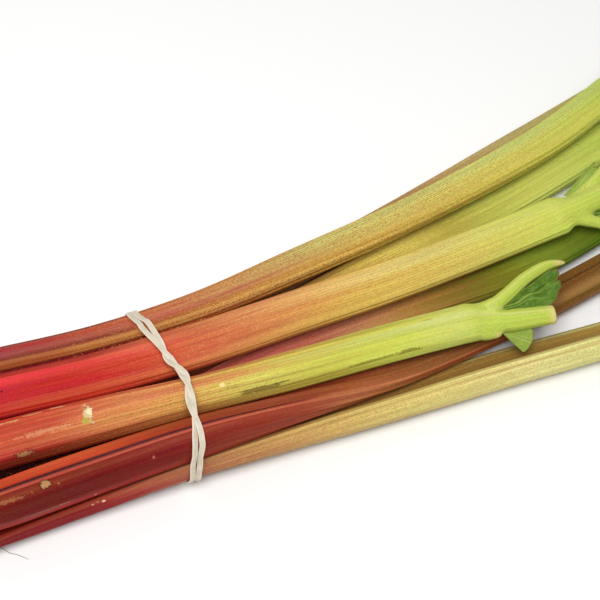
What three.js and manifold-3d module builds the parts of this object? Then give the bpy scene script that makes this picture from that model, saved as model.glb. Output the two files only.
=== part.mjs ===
// A bunch of eight pulled rhubarb stalks, tied with one doubled rubber band and lying down.
// Millimetres, +Z up. +X runs from the pulled heels to the trimmed leaf ends, and the lower
// stalks lie on z = 0 on small flats.
import * as THREE from 'three';
import { mergeVertices } from 'three/addons/utils/BufferGeometryUtils.js';
import Module from 'manifold-3d';

const wasm = await Module();
wasm.setup();

// ---- driving dimensions --------------------------------------------------------------
// The stalks are laid out from the middle of the band. LAYOUT_SHIFT then brings the bottom
// centre of the whole bunch to the origin.
const LAYOUT_SHIFT = new THREE.Vector3(-130.7, -59.7, 0);

// cross section of a stalk
const SIDES = 24; // points round a stalk
const RIB_COUNT = 12; // lengthwise ribs round a stalk
const RIB_HEIGHT = 0.32; // how far a rib stands above the mean surface
const RISE_SHARE = 0.5; // height of the flat face over its widest chord, as a share of the depth
const CHANNEL_HALF = 0.78; // where the channel ends, as a share of the half width
const SHOULDER = 0.55; // how square the shoulders of the flat face are, smaller is squarer

// heel: the flared, flattened end that was pulled from the crown
const HEEL_REACH = 24;
const HEEL_FLARE = 0.13;
const HEEL_FLATTEN = 0.3;
const HEEL_LIP = 7; // length of its rounded lip
const HEEL_LIP_SCALE = 0.6; // size of the end face, as a share of the section

// leaf end: the stalk spreads a little, then closes over the roots of the leaf ribs
const NECK_REACH = 16;
const NECK_SPREAD = 0.1;
const NECK_LIP = 11;
const NECK_LIP_SCALE = 0.66;

// where sections stand along a stalk, as shares of its route
const HEEL_STATIONS = [0, 0.006, 0.016, 0.045];
const NECK_STATIONS = [0.955, 0.98, 1];
const EVEN_STATIONS = 12;

// leaf ribs and leaf scraps
const LEAF_RIB_SIDES = 8;
const LEAF_RIB_STEPS = 6;
const LEAF_RIB_FLATNESS = 0.85; // height of a leaf rib over its width
const SCRAP_THICKNESS = 1.0;
const SCRAP_LONG_STEPS = 5;
const SCRAP_CROSS_STEPS = 3;
const TEAR_LONG = 0.09; // how ragged the torn edge is, in long and in short waves
const TEAR_SHORT = 0.05;

// rubber band: two flat strands of one loop, twisted round each other over the top
const STRAND_WIDTH = 3.6;
const STRAND_THICKNESS = 1.3;
const STRAND_OFFSET = 2.05; // half the distance between the two strands
const BAND_STEPS = 108;
const BAND_FINE_STEPS = 360; // angles at which the hull is felt for
const STACK_LIFT = 0.5; // half the height between two strands that cross, which are pressed together
const BAND_TWISTS = 4; // half turns of the strands round each other
const BAND_GAP = 0.7; // clear air between the band and what it holds
const BAND_REACH = 4; // half the width over which it clears what it holds
const BAND_CENTRE = { y: 16, z: 21 };
const BAND_X = 5; // where the band crosses underneath
const BAND_BOW = 15; // how far it is pulled along the bunch over the top
const BAND_BOW_SPAN = (200 * Math.PI) / 180;
const BAND_BOW_LEAN = 1.35;

// ---- the stalks ----------------------------------------------------------------------
// Each route row: x, y, z of the section's middle, half width, depth below the widest chord,
// and roll in degrees (positive turns the flat face towards -Y).
// channel is the depth of the channel in the flat face, as a share of the depth.
// Leaf ribs and scraps are in the axes of the leaf end: along the stalk, to its +Y side, up.
const STALKS = [
  {
    name: 'stalk_rear_low',
    colour: '#b0935c',
    channel: 0.16,
    route: [
      [-118, 64, 8.5, 11.5, 9.2, 0],
      [-60, 62, 10, 11, 9.3, 0],
      [5, 62.5, 12.9, 10.5, 9.5, 0],
      [70, 71, 11.2, 10.5, 9.4, 0],
      [136, 86.8, 9.4, 10.5, 9.2, 0],
      [200, 103.4, 8.3, 10.5, 9.2, 0],
      [269, 123, 8.3, 10.5, 9.2, 0],
      [384, 155, 9.2, 10.5, 9, 0],
    ],
    fork: { main: 15, left: 15, right: 12, spread: 0.6, leftScrap: 0.8, rightScrap: 0.6 },
  },
  {
    name: 'stalk_rear_top',
    colour: '#a9553a',
    channel: 0.16,
    route: [
      [-124, 73.4, 26, 12.3, 10.5, -36],
      [-78, 68.4, 26.2, 12, 10.5, -36],
      [-18, 63.2, 27.4, 11.4, 10.5, -34],
      [45, 65, 27, 11.4, 10.5, -28],
      [112, 74, 27, 11.6, 10.3, -18],
      [183, 85, 27, 11.2, 10, -10],
      [259, 101.7, 27, 11.6, 10.2, -6],
      [308, 117, 26.6, 11.6, 9.8, 0],
      [366, 142, 27, 11.4, 9.3, 0],
    ],
    fork: { main: 32, left: 28, right: 26, spread: 0.62, leftScrap: 0.85, rightScrap: 0.75 },
  },
  {
    name: 'stalk_rear_inner',
    colour: '#a3ab48',
    channel: 0.16,
    route: [
      [-112, 37, 7.6, 12, 9.4, 0],
      [-60, 35, 8.6, 11.5, 9.3, 0],
      [5, 34, 13.4, 11.5, 9.4, 0],
      [70, 46, 12.2, 11.3, 9.3, 0],
      [140, 61.2, 11, 11.7, 9.4, 0],
      [209, 77, 10, 12.3, 9.6, 0],
      [269, 90, 9.6, 13, 9.8, 0],
      [368, 119, 9.8, 12.6, 9.6, 0],
    ],
    fork: { main: 25, left: 17, right: 25, spread: 0.6, leftScrap: 0.65, rightScrap: 0.85 },
  },
  {
    name: 'stalk_broad_red',
    colour: '#cf5040',
    channel: 0.05,
    route: [
      [-130, 44, 30, 14.4, 12, 0],
      [-83, 41, 30.5, 14.3, 12, 0],
      [-24, 35.8, 31.3, 14.3, 12, 0],
      [36, 35.3, 31.5, 14.2, 11.5, 6],
      [99, 38.7, 29.8, 13.8, 11.2, 9],
      [165, 42.2, 28, 13.2, 11, 12],
      [234, 48.7, 27, 12.8, 10.5, 12],
      [288, 54.7, 27, 12.6, 10, 9],
    ],
    leafRibs: [
      [[-14, 0, 0, 8.6], [8, 0, 0.3, 8.2], [34, 3, 0.2, 7.2], [58, 7, 0, 6]],
      [[-10, 6, 0, 5.2], [8, 12.5, 2, 4.6], [26, 21, 3, 3.8], [40, 31, 3, 3]],
      [[-10, -5, -1, 5], [6, -12, -3, 4.2], [20, -22, -5, 3.4], [32, -33, -6, 2.8]],
    ],
    scraps: [
      { corners: [[2, 3, 0], [34, 3, 0], [6, 11, 1.5], [24, 20, 2.5]], sag: 1.5, wave: 0.8 },
      { corners: [[2, -4, -1], [22, -3, -1], [5, -11, -3], [16, -19, -5]], sag: -1.5, wave: 0.9 },
    ],
  },
  {
    name: 'stalk_middle_low',
    colour: '#8a5a3c',
    channel: 0.14,
    route: [
      [-106, 7, 7.6, 11.5, 9.3, 0],
      [-50, 5, 8.8, 11, 9.4, 0],
      [5, 8, 13.4, 11.3, 9.4, 0],
      [60, 19.5, 13.4, 11.3, 9.5, 0],
      [110, 27, 12, 11, 9.3, 0],
      [162, 31, 10.5, 11.5, 9.3, 0],
      [229, 33.5, 10, 11.5, 9.3, 0],
      [273, 40.5, 9.5, 11.5, 9.2, 0],
      [340, 59, 9.2, 11.5, 9, 0],
    ],
    fork: { main: 24, left: 22, right: 18, spread: 0.5, leftScrap: 0.75, rightScrap: 0.6 },
  },
  {
    name: 'stalk_leafy_top',
    colour: '#c8904f',
    channel: 0.12,
    route: [
      [-135, 12.6, 26.5, 15, 11.8, 176],
      [-91, 11.2, 26.8, 14.8, 11.8, 176],
      [-33, 7.8, 27.8, 13.7, 11.6, 176],
      [26, 3.2, 29.4, 11.6, 10.8, 178],
      [85, -0.4, 30.8, 11.9, 10.4, 180],
      [146, -2.4, 31.2, 11.9, 9.9, 182],
      [203, -5.4, 31.4, 12.6, 8.6, 182],
    ],
    leafRibs: [
      [[-18, 0.5, 0, 9], [0, -2.6, 0, 8.2], [8, -5, 0, 7.4], [25, -7.7, -0.2, 6.1], [39, -9.4, -0.4, 5.5]],
      [
        [-6, 3.5, 0, 5.6], [8, 7.1, 1.6, 5.5], [18, 12.5, 2.6, 5.3], [29.5, 18.2, 3.6, 4.8],
        [42.5, 22.3, 4.6, 3.5], [51, 22.8, 5.1, 2.2], [58, 21.8, 5.6, 1],
      ],
    ],
    scraps: [
      { corners: [[10, 0, 1.5], [37, -5, 1.5], [12, 6, 2], [46.5, 19, 4.5]], sag: 2.2, wave: 1.2, bulge: 0.26 },
      { corners: [[5, -9, -3], [25, -11, -3.5], [7, -15, -5], [17, -25, -6.4]], sag: 1, wave: 0.5, bulge: 0.2 },
    ],
  },
  {
    name: 'stalk_front_top',
    colour: '#7a2622',
    channel: 0.18,
    route: [
      [-138, -25, 29.2, 17.5, 17.5, -66],
      [-100, -22.4, 29.6, 17.5, 17.5, -66],
      [-42, -19, 30, 15.6, 17.5, -62],
      [18, -18.7, 30, 14.6, 15.6, -64],
      [79, -18, 27.4, 13.3, 12.8, -50],
      [144, -13.5, 19.6, 11.5, 9.8, -20],
      [205, -2, 12.5, 11.5, 9.6, -12],
      [255, 7.5, 10, 11.5, 9.3, -12],
      [326, 23, 9.5, 11.5, 9, -12],
    ],
    fork: { main: 26, left: 18, right: 24, spread: 0.55, leftScrap: 0.6, rightScrap: 0.8 },
  },
  {
    name: 'stalk_front_low',
    colour: '#c0a468',
    channel: 0.18,
    route: [
      [-128, -31.4, 8.6, 11, 8.6, -24],
      [-60, -28.4, 9.4, 10.8, 8.8, -26],
      [5, -27.3, 12.6, 11.3, 9.3, -30],
      [76, -27, 12.2, 12.6, 11.2, -36],
      [139, -27.8, 11.4, 13.4, 12.2, -38],
      [203, -28.2, 11.4, 14, 12.6, -38],
      [303, -31.5, 11.4, 13.8, 12.4, -38],
    ],
    fork: { main: 28, left: 25, right: 22, spread: 0.6, leftScrap: 0.75, rightScrap: 0.85 },
  },
];

// ---- small helpers -------------------------------------------------------------------
function lerp(a, b, share) {
  return a + (b - a) * share;
}

function geometryFrom(points, faces) {
  const geometry = new THREE.BufferGeometry();
  geometry.setAttribute('position', new THREE.Float32BufferAttribute(points.flat(), 3));
  geometry.setIndex(faces.flat());
  return geometry;
}

function solidFrom(geometry) {
  const bare = geometry.clone();
  bare.deleteAttribute('normal');
  bare.deleteAttribute('uv');
  const merged = mergeVertices(bare, 1e-5);
  return new wasm.Manifold(new wasm.Mesh({
    numProp: 3,
    vertProperties: Float32Array.from(merged.attributes.position.array),
    triVerts: Uint32Array.from(merged.index.array),
  }));
}

function geometryOf(solid) {
  const mesh = solid.getMesh();
  const geometry = new THREE.BufferGeometry();
  geometry.setAttribute('position', new THREE.BufferAttribute(mesh.vertProperties, 3));
  geometry.setIndex(new THREE.BufferAttribute(mesh.triVerts, 1));
  geometry.computeVertexNormals();
  return geometry;
}

// Closes a stack of rings, all with the same number of points, into one solid.
function loft(rings) {
  const sides = rings[0].length;
  const points = rings.flat();
  const faces = [];
  for (let ring = 0; ring + 1 < rings.length; ring += 1) {
    for (let side = 0; side < sides; side += 1) {
      const a = ring * sides + side;
      const b = ring * sides + ((side + 1) % sides);
      faces.push([a, b, b + sides], [a, b + sides, a + sides]);
    }
  }
  const start = points.length;
  const end = start + 1;
  const last = (rings.length - 1) * sides;
  points.push(middleOf(rings[0]), middleOf(rings[rings.length - 1]));
  for (let side = 0; side < sides; side += 1) {
    const next = (side + 1) % sides;
    faces.push([start, next, side], [end, last + side, last + next]);
  }
  return geometryFrom(points, faces);
}

function middleOf(ring) {
  const sum = ring.reduce((total, point) => total.map((value, axis) => value + point[axis]), [0, 0, 0]);
  return sum.map((value) => value / ring.length);
}

// ---- a stalk -------------------------------------------------------------------------
// A route gives, for a share of its length, the section's middle, sizes, roll and axes.
function makeRoute({ route: rows, channel }) {
  const places = new THREE.CatmullRomCurve3(
    rows.map(([x, y, z]) => new THREE.Vector3(x, y, z)), false, 'catmullrom', 0.5);
  const sizes = new THREE.CatmullRomCurve3(
    rows.map((row) => new THREE.Vector3(row[3], row[4], row[5])), false, 'catmullrom', 0.5);
  const firstX = rows[0][0];
  const lastX = rows[rows.length - 1][0];
  return (share) => {
    const middle = places.getPoint(share);
    const size = sizes.getPoint(share);
    const along = places.getTangent(share);
    const side = new THREE.Vector3(0, 0, 1).cross(along).normalize();
    const up = along.clone().cross(side);
    return {
      middle, along, side, up,
      half: size.x,
      depth: size.y,
      roll: THREE.MathUtils.degToRad(size.z),
      channel,
      fromHeel: middle.x - firstX,
      toNeck: lastX - middle.x,
    };
  };
}

// A rounded lip: full size at its inner edge, down to endScale at the very end.
function lipScale(distance, length, endScale) {
  const share = Math.min(1, Math.max(0, distance / length));
  return endScale + (1 - endScale) * Math.sqrt(1 - (1 - share) ** 2);
}

// One point of a section: flat, channelled face above, ribbed round side below.
function sectionPoint(station, angle) {
  const heel = Math.exp(-((station.fromHeel / HEEL_REACH) ** 2));
  const neck = Math.exp(-((station.toNeck / NECK_REACH) ** 2));
  const lip = lipScale(station.fromHeel, HEEL_LIP, HEEL_LIP_SCALE)
    * lipScale(station.toNeck, NECK_LIP, NECK_LIP_SCALE);
  const rib = RIB_HEIGHT * Math.cos(RIB_COUNT * angle);
  const half = station.half * (1 + HEEL_FLARE * heel + NECK_SPREAD * neck) + rib;
  const depth = station.depth * (1 - HEEL_FLATTEN * heel) + rib;
  const across = Math.cos(angle);
  const height = Math.sin(angle);
  const channel = station.channel * depth * Math.max(0, 1 - (across / CHANNEL_HALF) ** 2) ** 2;
  const u = lip * half * across;
  const v = height >= 0
    ? lip * (RISE_SHARE * depth * height ** SHOULDER - channel)
    : lip * depth * height;
  const sideways = u * Math.cos(station.roll) - v * Math.sin(station.roll);
  const upwards = u * Math.sin(station.roll) + v * Math.cos(station.roll);
  const point = station.middle.clone()
    .addScaledVector(station.side, sideways)
    .addScaledVector(station.up, upwards);
  // What would sink into the surface is pressed flat on it.
  return [point.x, point.y, Math.max(0, point.z)];
}

function sectionRing(station) {
  return Array.from({ length: SIDES }, (_, i) => sectionPoint(station, (2 * Math.PI * i) / SIDES));
}

function stationShares() {
  const shares = [...HEEL_STATIONS];
  const from = HEEL_STATIONS[HEEL_STATIONS.length - 1];
  const to = NECK_STATIONS[0];
  for (let i = 1; i < EVEN_STATIONS; i += 1) {
    shares.push(lerp(from, to, i / EVEN_STATIONS));
  }
  return shares.concat(NECK_STATIONS);
}

// ---- leaf ribs and scraps ------------------------------------------------------------
// A tapering tube through points with a radius each, in the axes of the leaf end.
function leafRib(rows) {
  const curve = new THREE.CatmullRomCurve3(
    rows.map(([along, side, up]) => new THREE.Vector3(along, side, up)), false, 'catmullrom', 0.5);
  const rings = [];
  for (let step = 0; step <= LEAF_RIB_STEPS; step += 1) {
    const share = step / LEAF_RIB_STEPS;
    const place = share * (rows.length - 1);
    const row = Math.min(rows.length - 2, Math.floor(place));
    const radius = lerp(rows[row][3], rows[row + 1][3], place - row);
    const middle = curve.getPoint(share);
    const along = curve.getTangent(share);
    const side = new THREE.Vector3(0, 0, 1).cross(along).normalize();
    const up = along.clone().cross(side);
    rings.push(Array.from({ length: LEAF_RIB_SIDES }, (_, i) => {
      const angle = (2 * Math.PI * i) / LEAF_RIB_SIDES;
      return middle.clone()
        .addScaledVector(side, radius * Math.cos(angle))
        .addScaledVector(up, LEAF_RIB_FLATNESS * radius * Math.sin(angle))
        .toArray();
    }));
  }
  return loft(rings);
}

// A torn scrap of leaf between four corners: two along one rib, then two along the other.
// bulge is how far its torn edge stands out half way, as a share of its length.
function leafScrap({ corners, sag, wave, bulge = 0 }) {
  const [a0, a1, b0, b1] = corners.map((corner) => new THREE.Vector3(...corner));
  const normal = a1.clone().sub(a0).cross(b0.clone().sub(a0)).normalize();
  const faceAt = (offset) => {
    const rows = [];
    for (let i = 0; i <= SCRAP_LONG_STEPS; i += 1) {
      for (let j = 0; j <= SCRAP_CROSS_STEPS; j += 1) {
        const q = j / SCRAP_CROSS_STEPS;
        const torn = TEAR_LONG * Math.sin(7 * q + 1) + TEAR_SHORT * Math.sin(17 * q);
        const ragged = 1 + torn + bulge * Math.sin(Math.PI * q);
        const p = (i / SCRAP_LONG_STEPS) * ragged;
        const point = a0.clone().lerp(a1, p).lerp(b0.clone().lerp(b1, p), q);
        const middle = 4 * q * (1 - q); // 0 along both ribs, 1 half way between them
        const lift = middle * (sag * p + wave * Math.sin(9 * p + 4 * q));
        rows.push(point.addScaledVector(normal, lift + offset).toArray());
      }
    }
    return rows;
  };
  const top = faceAt(SCRAP_THICKNESS / 2);
  const bottom = faceAt(-SCRAP_THICKNESS / 2);
  const width = SCRAP_CROSS_STEPS + 1;
  const faces = [];
  for (let i = 0; i < SCRAP_LONG_STEPS; i += 1) {
    for (let j = 0; j < SCRAP_CROSS_STEPS; j += 1) {
      const a = i * width + j;
      const b = a + width;
      faces.push([a, b, b + 1], [a, b + 1, a + 1]);
      faces.push([a, b + 1, b].map((k) => k + top.length), [a, a + 1, b + 1].map((k) => k + top.length));
    }
  }
  for (const [from, to] of rimOf(SCRAP_LONG_STEPS, width)) {
    faces.push([from, from + top.length, to + top.length], [from, to + top.length, to]);
  }
  return geometryFrom([...top, ...bottom], faces);
}

// The edges of a grid's rim, in the order that keeps the side walls facing out.
function rimOf(longSteps, width) {
  const rim = [];
  for (let j = 0; j + 1 < width; j += 1) {
    rim.push([j + 1, j], [longSteps * width + j, longSteps * width + j + 1]);
  }
  for (let i = 0; i < longSteps; i += 1) {
    rim.push([i * width, (i + 1) * width]);
    rim.push([(i + 1) * width + width - 1, i * width + width - 1]);
  }
  return rim;
}

// The usual fork: a thick middle rib and two side ribs, all cut short, with leaf left between.
// Thicknesses are shares of the stalk's half width; roots start inside the stalk.
function usualFork(half, fork) {
  const { main, spread } = fork;
  const middle = [
    [-16, 0, 0, 0.6 * half],
    [0.4 * main, 0, 0.6, 0.54 * half],
    [main, 0, 0.4, 0.45 * half],
  ];
  const arm = (length, way) => {
    const [along, out] = [Math.cos(spread), way * Math.sin(spread)];
    const start = way * 0.3 * half;
    return [
      [-14, start, 0, 0.42 * half],
      [0.35 * length * along, start + 0.5 * length * out, 1, 0.36 * half],
      [0.7 * length * along, start + 0.85 * length * out, 2, 0.31 * half],
      [length * along, start + 1.1 * length * out, 3, 0.24 * half],
    ];
  };
  const web = (rib, share) => ({
    corners: [
      [-2, 0, 0.5],
      [share * main, 0, 0.5],
      [0.3 * rib[1][0], 0.6 * rib[1][1], 0.5],
      [lerp(rib[1][0], rib[3][0], share), lerp(rib[1][1], rib[3][1], share), lerp(1, 3, share)],
    ],
    sag: 1.6,
    wave: 0.9,
  });
  const left = arm(fork.left, 1);
  const right = arm(fork.right, -1);
  return {
    leafRibs: [middle, left, right],
    scraps: [web(left, fork.leftScrap), web(right, fork.rightScrap)],
  };
}

function placeAt(geometry, end) {
  const axes = new THREE.Matrix4().makeBasis(end.along, end.side, end.up).setPosition(end.middle);
  return geometry.applyMatrix4(axes);
}

function stalkRings(stalk) {
  const route = makeRoute(stalk);
  return stationShares().map((share) => sectionRing(route(share)));
}

function makeStalk(stalk) {
  const end = makeRoute(stalk)(1);
  const { leafRibs, scraps } = stalk.fork ? usualFork(end.half, stalk.fork) : stalk;
  let solid = solidFrom(loft(stalkRings(stalk)));
  for (const rib of leafRibs) {
    solid = solid.add(solidFrom(placeAt(leafRib(rib), end)));
  }
  for (const scrap of scraps) {
    solid = solid.add(solidFrom(placeAt(leafScrap(scrap), end)));
  }
  return solid;
}

// ---- rubber band ---------------------------------------------------------------------
function bandX(angle) {
  const share = angle / BAND_BOW_SPAN;
  return share >= 1 ? BAND_X : BAND_X + BAND_BOW * Math.sin(Math.PI * share ** BAND_BOW_LEAN);
}

// Where the lengthwise edges of a stalk cross the given x.
function outlineAt(rings, x) {
  const outline = [];
  for (let ring = 0; ring + 1 < rings.length; ring += 1) {
    rings[ring].forEach((start, side) => {
      const end = rings[ring + 1][side];
      if (start[0] > x || end[0] <= x) return;
      const share = (x - start[0]) / (end[0] - start[0]);
      outline.push([lerp(start[1], end[1], share), lerp(start[2], end[2], share)]);
    });
  }
  return outline;
}

// Convex outline of points in the plane across the bunch, counter-clockwise.
function hullOf(points) {
  const sorted = [...points].sort((a, b) => a[0] - b[0] || a[1] - b[1]);
  const turn = (o, a, b) => (a[0] - o[0]) * (b[1] - o[1]) - (a[1] - o[1]) * (b[0] - o[0]);
  const half = (list) => {
    const chain = [];
    for (const point of list) {
      while (chain.length > 1 && turn(chain[chain.length - 2], chain[chain.length - 1], point) <= 0) {
        chain.pop();
      }
      chain.push(point);
    }
    return chain.slice(0, -1);
  };
  return [...half(sorted), ...half(sorted.reverse())];
}

// How far the hull reaches from the band's centre in the direction of the angle.
function hullReach(hull, angle) {
  const [c, s] = [Math.cos(angle), Math.sin(angle)];
  let reach = 0;
  hull.forEach((start, i) => {
    const end = hull[(i + 1) % hull.length];
    const [ay, az] = [start[0] - BAND_CENTRE.y, start[1] - BAND_CENTRE.z];
    const [dy, dz] = [end[0] - start[0], end[1] - start[1]];
    const cross = c * dz - s * dy;
    if (Math.abs(cross) < 1e-9) return;
    const distance = (ay * dz - az * dy) / cross;
    const share = (ay * s - az * c) / cross;
    if (distance > 0 && share >= 0 && share <= 1) reach = Math.max(reach, distance);
  });
  return reach;
}

// The closed path of the band over the hull of the bunch, which leans with bandX.
function bandPath(stalks) {
  const points = Array.from({ length: BAND_FINE_STEPS }, (_, i) => {
    const angle = (2 * Math.PI * i) / BAND_FINE_STEPS;
    const x = bandX(angle);
    const covered = [x - BAND_REACH, x, x + BAND_REACH];
    const hull = hullOf(stalks.flatMap((rings) => covered.flatMap((place) => outlineAt(rings, place))));
    const reach = hullReach(hull, angle);
    return new THREE.Vector3(
      x,
      BAND_CENTRE.y + reach * Math.cos(angle),
      BAND_CENTRE.z + reach * Math.sin(angle),
    );
  });
  return new THREE.CatmullRomCurve3(points, true, 'catmullrom', 0.5);
}

function makeBand(stalks) {
  const path = bandPath(stalks);
  const strand = (phase) => {
    const rings = [];
    for (let i = 0; i < BAND_STEPS; i += 1) {
      const share = i / BAND_STEPS;
      const along = path.getTangentAt(share);
      const middle = path.getPointAt(share);
      const out = new THREE.Vector3(1, 0, 0).cross(along).negate().normalize();
      const side = along.clone().cross(out).normalize();
      const twist = twistAt(share) + phase;
      const lift = STRAND_THICKNESS / 2 + BAND_GAP;
      const centre = middle.clone()
        .addScaledVector(out, lift + STACK_LIFT * twistLift(share) * (1 + Math.sin(twist)))
        .addScaledVector(side, STRAND_OFFSET * Math.cos(twist));
      rings.push([[-1, -1], [1, -1], [1, 1], [-1, 1]].map(([a, b]) => centre.clone()
        .addScaledVector(side, (a * STRAND_WIDTH) / 2)
        .addScaledVector(out, (b * STRAND_THICKNESS) / 2)
        .toArray()));
    }
    return solidFrom(ringLoft(rings));
  };
  return strand(0).add(strand(Math.PI));
}

// Half turns run over the top only, where the band isn't pressed against the surface.
function twistAt(share) {
  return Math.PI * BAND_TWISTS * Math.min(1, share / 0.5);
}

function twistLift(share) {
  return share < 0.5 ? 1 : 0;
}

function ringLoft(rings) {
  const sides = rings[0].length;
  const faces = [];
  rings.forEach((_, ring) => {
    const next = (ring + 1) % rings.length;
    for (let side = 0; side < sides; side += 1) {
      const a = ring * sides + side;
      const b = ring * sides + ((side + 1) % sides);
      const c = next * sides + ((side + 1) % sides);
      const d = next * sides + side;
      faces.push([a, c, b], [a, d, c]);
    }
  });
  return geometryFrom(rings.flat(), faces);
}

// ---- the bunch -----------------------------------------------------------------------
function skin(colour) {
  return new THREE.MeshStandardMaterial({ color: colour, roughness: 0.42, metalness: 0 });
}

function rubber() {
  return new THREE.MeshStandardMaterial({ color: '#e3d5c3', roughness: 0.6, metalness: 0 });
}

function named(solid, name, material) {
  const mesh = new THREE.Mesh(geometryOf(solid), material);
  mesh.name = name;
  return mesh;
}

const bunch = new THREE.Group();
bunch.position.copy(LAYOUT_SHIFT);
for (const stalk of STALKS) {
  bunch.add(named(makeStalk(stalk), stalk.name, skin(stalk.colour)));
}
bunch.add(named(makeBand(STALKS.map(stalkRings)), 'rubber_band', rubber()));

export default bunch;
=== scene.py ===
"""A bunch of eight pulled rhubarb stalks, tied with a doubled rubber band, lying on a pale table.

Everything is worked out in millimetres in the layout of the bunch (+X from the pulled heels to the
trimmed leaf ends, +Z up, the stalks laid out from the band) and is turned to metres at the end.
"""

import logging
import math
from collections.abc import Sequence
from dataclasses import dataclass
from enum import Enum
from functools import cached_property, partial
from typing import Any

import bpy
import numpy as np
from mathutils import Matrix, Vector
from mathutils.bvhtree import BVHTree
from mathutils.kdtree import KDTree


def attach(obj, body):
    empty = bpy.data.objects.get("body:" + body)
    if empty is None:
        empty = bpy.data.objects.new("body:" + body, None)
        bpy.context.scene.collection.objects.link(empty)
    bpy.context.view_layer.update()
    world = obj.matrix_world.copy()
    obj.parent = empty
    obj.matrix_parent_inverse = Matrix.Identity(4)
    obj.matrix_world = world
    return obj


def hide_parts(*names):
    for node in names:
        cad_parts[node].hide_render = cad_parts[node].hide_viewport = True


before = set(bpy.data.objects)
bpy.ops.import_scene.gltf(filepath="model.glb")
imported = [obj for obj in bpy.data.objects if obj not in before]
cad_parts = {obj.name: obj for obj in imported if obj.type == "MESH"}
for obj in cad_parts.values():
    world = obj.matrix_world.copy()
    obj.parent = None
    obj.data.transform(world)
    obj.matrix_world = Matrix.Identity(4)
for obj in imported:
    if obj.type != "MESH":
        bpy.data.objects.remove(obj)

LOG = logging.getLogger("rhubarb_bunch")
MM = 0.001
LAYOUT_SHIFT = np.array([-130.7, -59.7, 0.0])  # brings the bottom centre of the bunch to the origin
SEED = 20

Colour = tuple[float, float, float, float]
Face = tuple[int, ...]
Rows = Sequence[Sequence[float]]
Tree = bpy.types.NodeTree
Node = bpy.types.Node
Socket = bpy.types.NodeSocket
Stops = tuple[tuple[float, str] | tuple[float, str, float], ...]  # mm from the heel, colour, cover
Density = tuple[tuple[float, float], ...]  # mm from the heel, cover


# ---- small helpers -------------------------------------------------------------------------------
def linear(hex_colour: str, alpha: float = 1.0) -> Colour:
    """Turns an sRGB hex colour into linear light.

    Args:
        hex_colour: The colour as "#rrggbb".
        alpha: Its opacity.

    Returns:
        Red, green, blue and opacity.
    """
    parts = [int(hex_colour[i : i + 2], 16) / 255 for i in (1, 3, 5)]
    red, green, blue = (c / 12.92 if c <= 0.04045 else ((c + 0.055) / 1.055) ** 2.4 for c in parts)
    return (red, green, blue, alpha)


def smooth(low: float, high: float, value: np.ndarray) -> np.ndarray:
    """Eases from 0 at low to 1 at high.

    Args:
        low: Where the result is still 0.
        high: Where the result has reached 1.
        value: The values to ease.

    Returns:
        The eased values, between 0 and 1.
    """
    share = np.clip((value - low) / (high - low), 0.0, 1.0)
    return share * share * (3.0 - 2.0 * share)


def gauss(distance: np.ndarray, width: float) -> np.ndarray:
    """A bell that is 1 at distance 0 and fades within a few widths."""
    return np.exp(-((distance / width) ** 2))


def wander(along: np.ndarray, length: float, seed: int) -> np.ndarray:
    """Slow irregular waves between about -1 and 1, like the unevenness of a grown thing.

    Args:
        along: Places in millimetres.
        length: The longest wave in millimetres.
        seed: Which waves.

    Returns:
        The height of the waves at each place.
    """
    rng = np.random.default_rng(SEED + seed)
    total = np.zeros_like(along, dtype=float)
    for octave, weight in enumerate((0.55, 0.3, 0.15)):
        total += weight * np.sin(2 * np.pi * along * 2**octave / length + rng.uniform(0, 2 * np.pi))
    return total


class Spline:
    """A uniform Catmull-Rom curve through rows of numbers, run on straight past its two ends."""

    def __init__(self, rows: Rows) -> None:
        """Keeps the rows and one extra row beyond each end."""
        table = np.array(rows, dtype=float)
        self.count = len(table)
        self.rows = np.vstack([2 * table[0] - table[1], table, 2 * table[-1] - table[-2]])

    def at(self, shares: np.ndarray) -> tuple[np.ndarray, np.ndarray]:
        """Finds rows on the curve.

        Args:
            shares: Places from 0 at the first row to 1 at the last.

        Returns:
            The rows there, and their slopes.
        """
        place = np.clip(shares, 0.0, 1.0) * (self.count - 1)
        start = np.minimum(place.astype(int), self.count - 2)
        t = (place - start)[:, None]
        before, a, b, after = (self.rows[start + k] for k in range(4))
        slope_a, slope_b = (b - before) / 2, (after - a) / 2
        square = 3 * (b - a) - 2 * slope_a - slope_b
        cube = 2 * (a - b) + slope_a + slope_b
        return a + t * (slope_a + t * (square + t * cube)), slope_a + t * (2 * square + 3 * t * cube)


def eased(places: np.ndarray, rows: Rows) -> np.ndarray:
    """Reads columns of numbers between rows, with soft corners at the rows.

    Args:
        places: Where to read them, in the measure of the first column.
        rows: The rows, by rising first number.

    Returns:
        The other columns, one after the other.
    """
    table = np.array(rows, dtype=float)
    columns = []
    for column in table[:, 1:].T:
        values = np.interp(places, table[:, 0], column)
        for _ in range(4):
            values[1:-1] = (values[:-2] + values[1:-1] + values[2:]) / 3
        columns.append(values)
    return np.array(columns)


@dataclass
class Shell:
    """Points and faces of a closed mesh, with what its finish needs to know at each point."""

    points: np.ndarray
    faces: list[Face]
    grain: np.ndarray
    wear: np.ndarray

    def world(self) -> np.ndarray:
        """The points in metres, round the origin of the frame."""
        return (self.points + LAYOUT_SHIFT) * MM

    def mesh(self, name: str) -> bpy.types.Mesh:
        """Makes a Blender mesh in metres, smooth, with the grain and wear stored at its points.

        Args:
            name: The name of the mesh.

        Returns:
            The new mesh.
        """
        mesh = bpy.data.meshes.new(name)
        mesh.from_pydata(self.world().tolist(), [], self.faces)
        store(mesh, "grain", self.grain)
        store(mesh, "wear", self.wear)
        mesh.shade_smooth()
        return mesh


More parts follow.
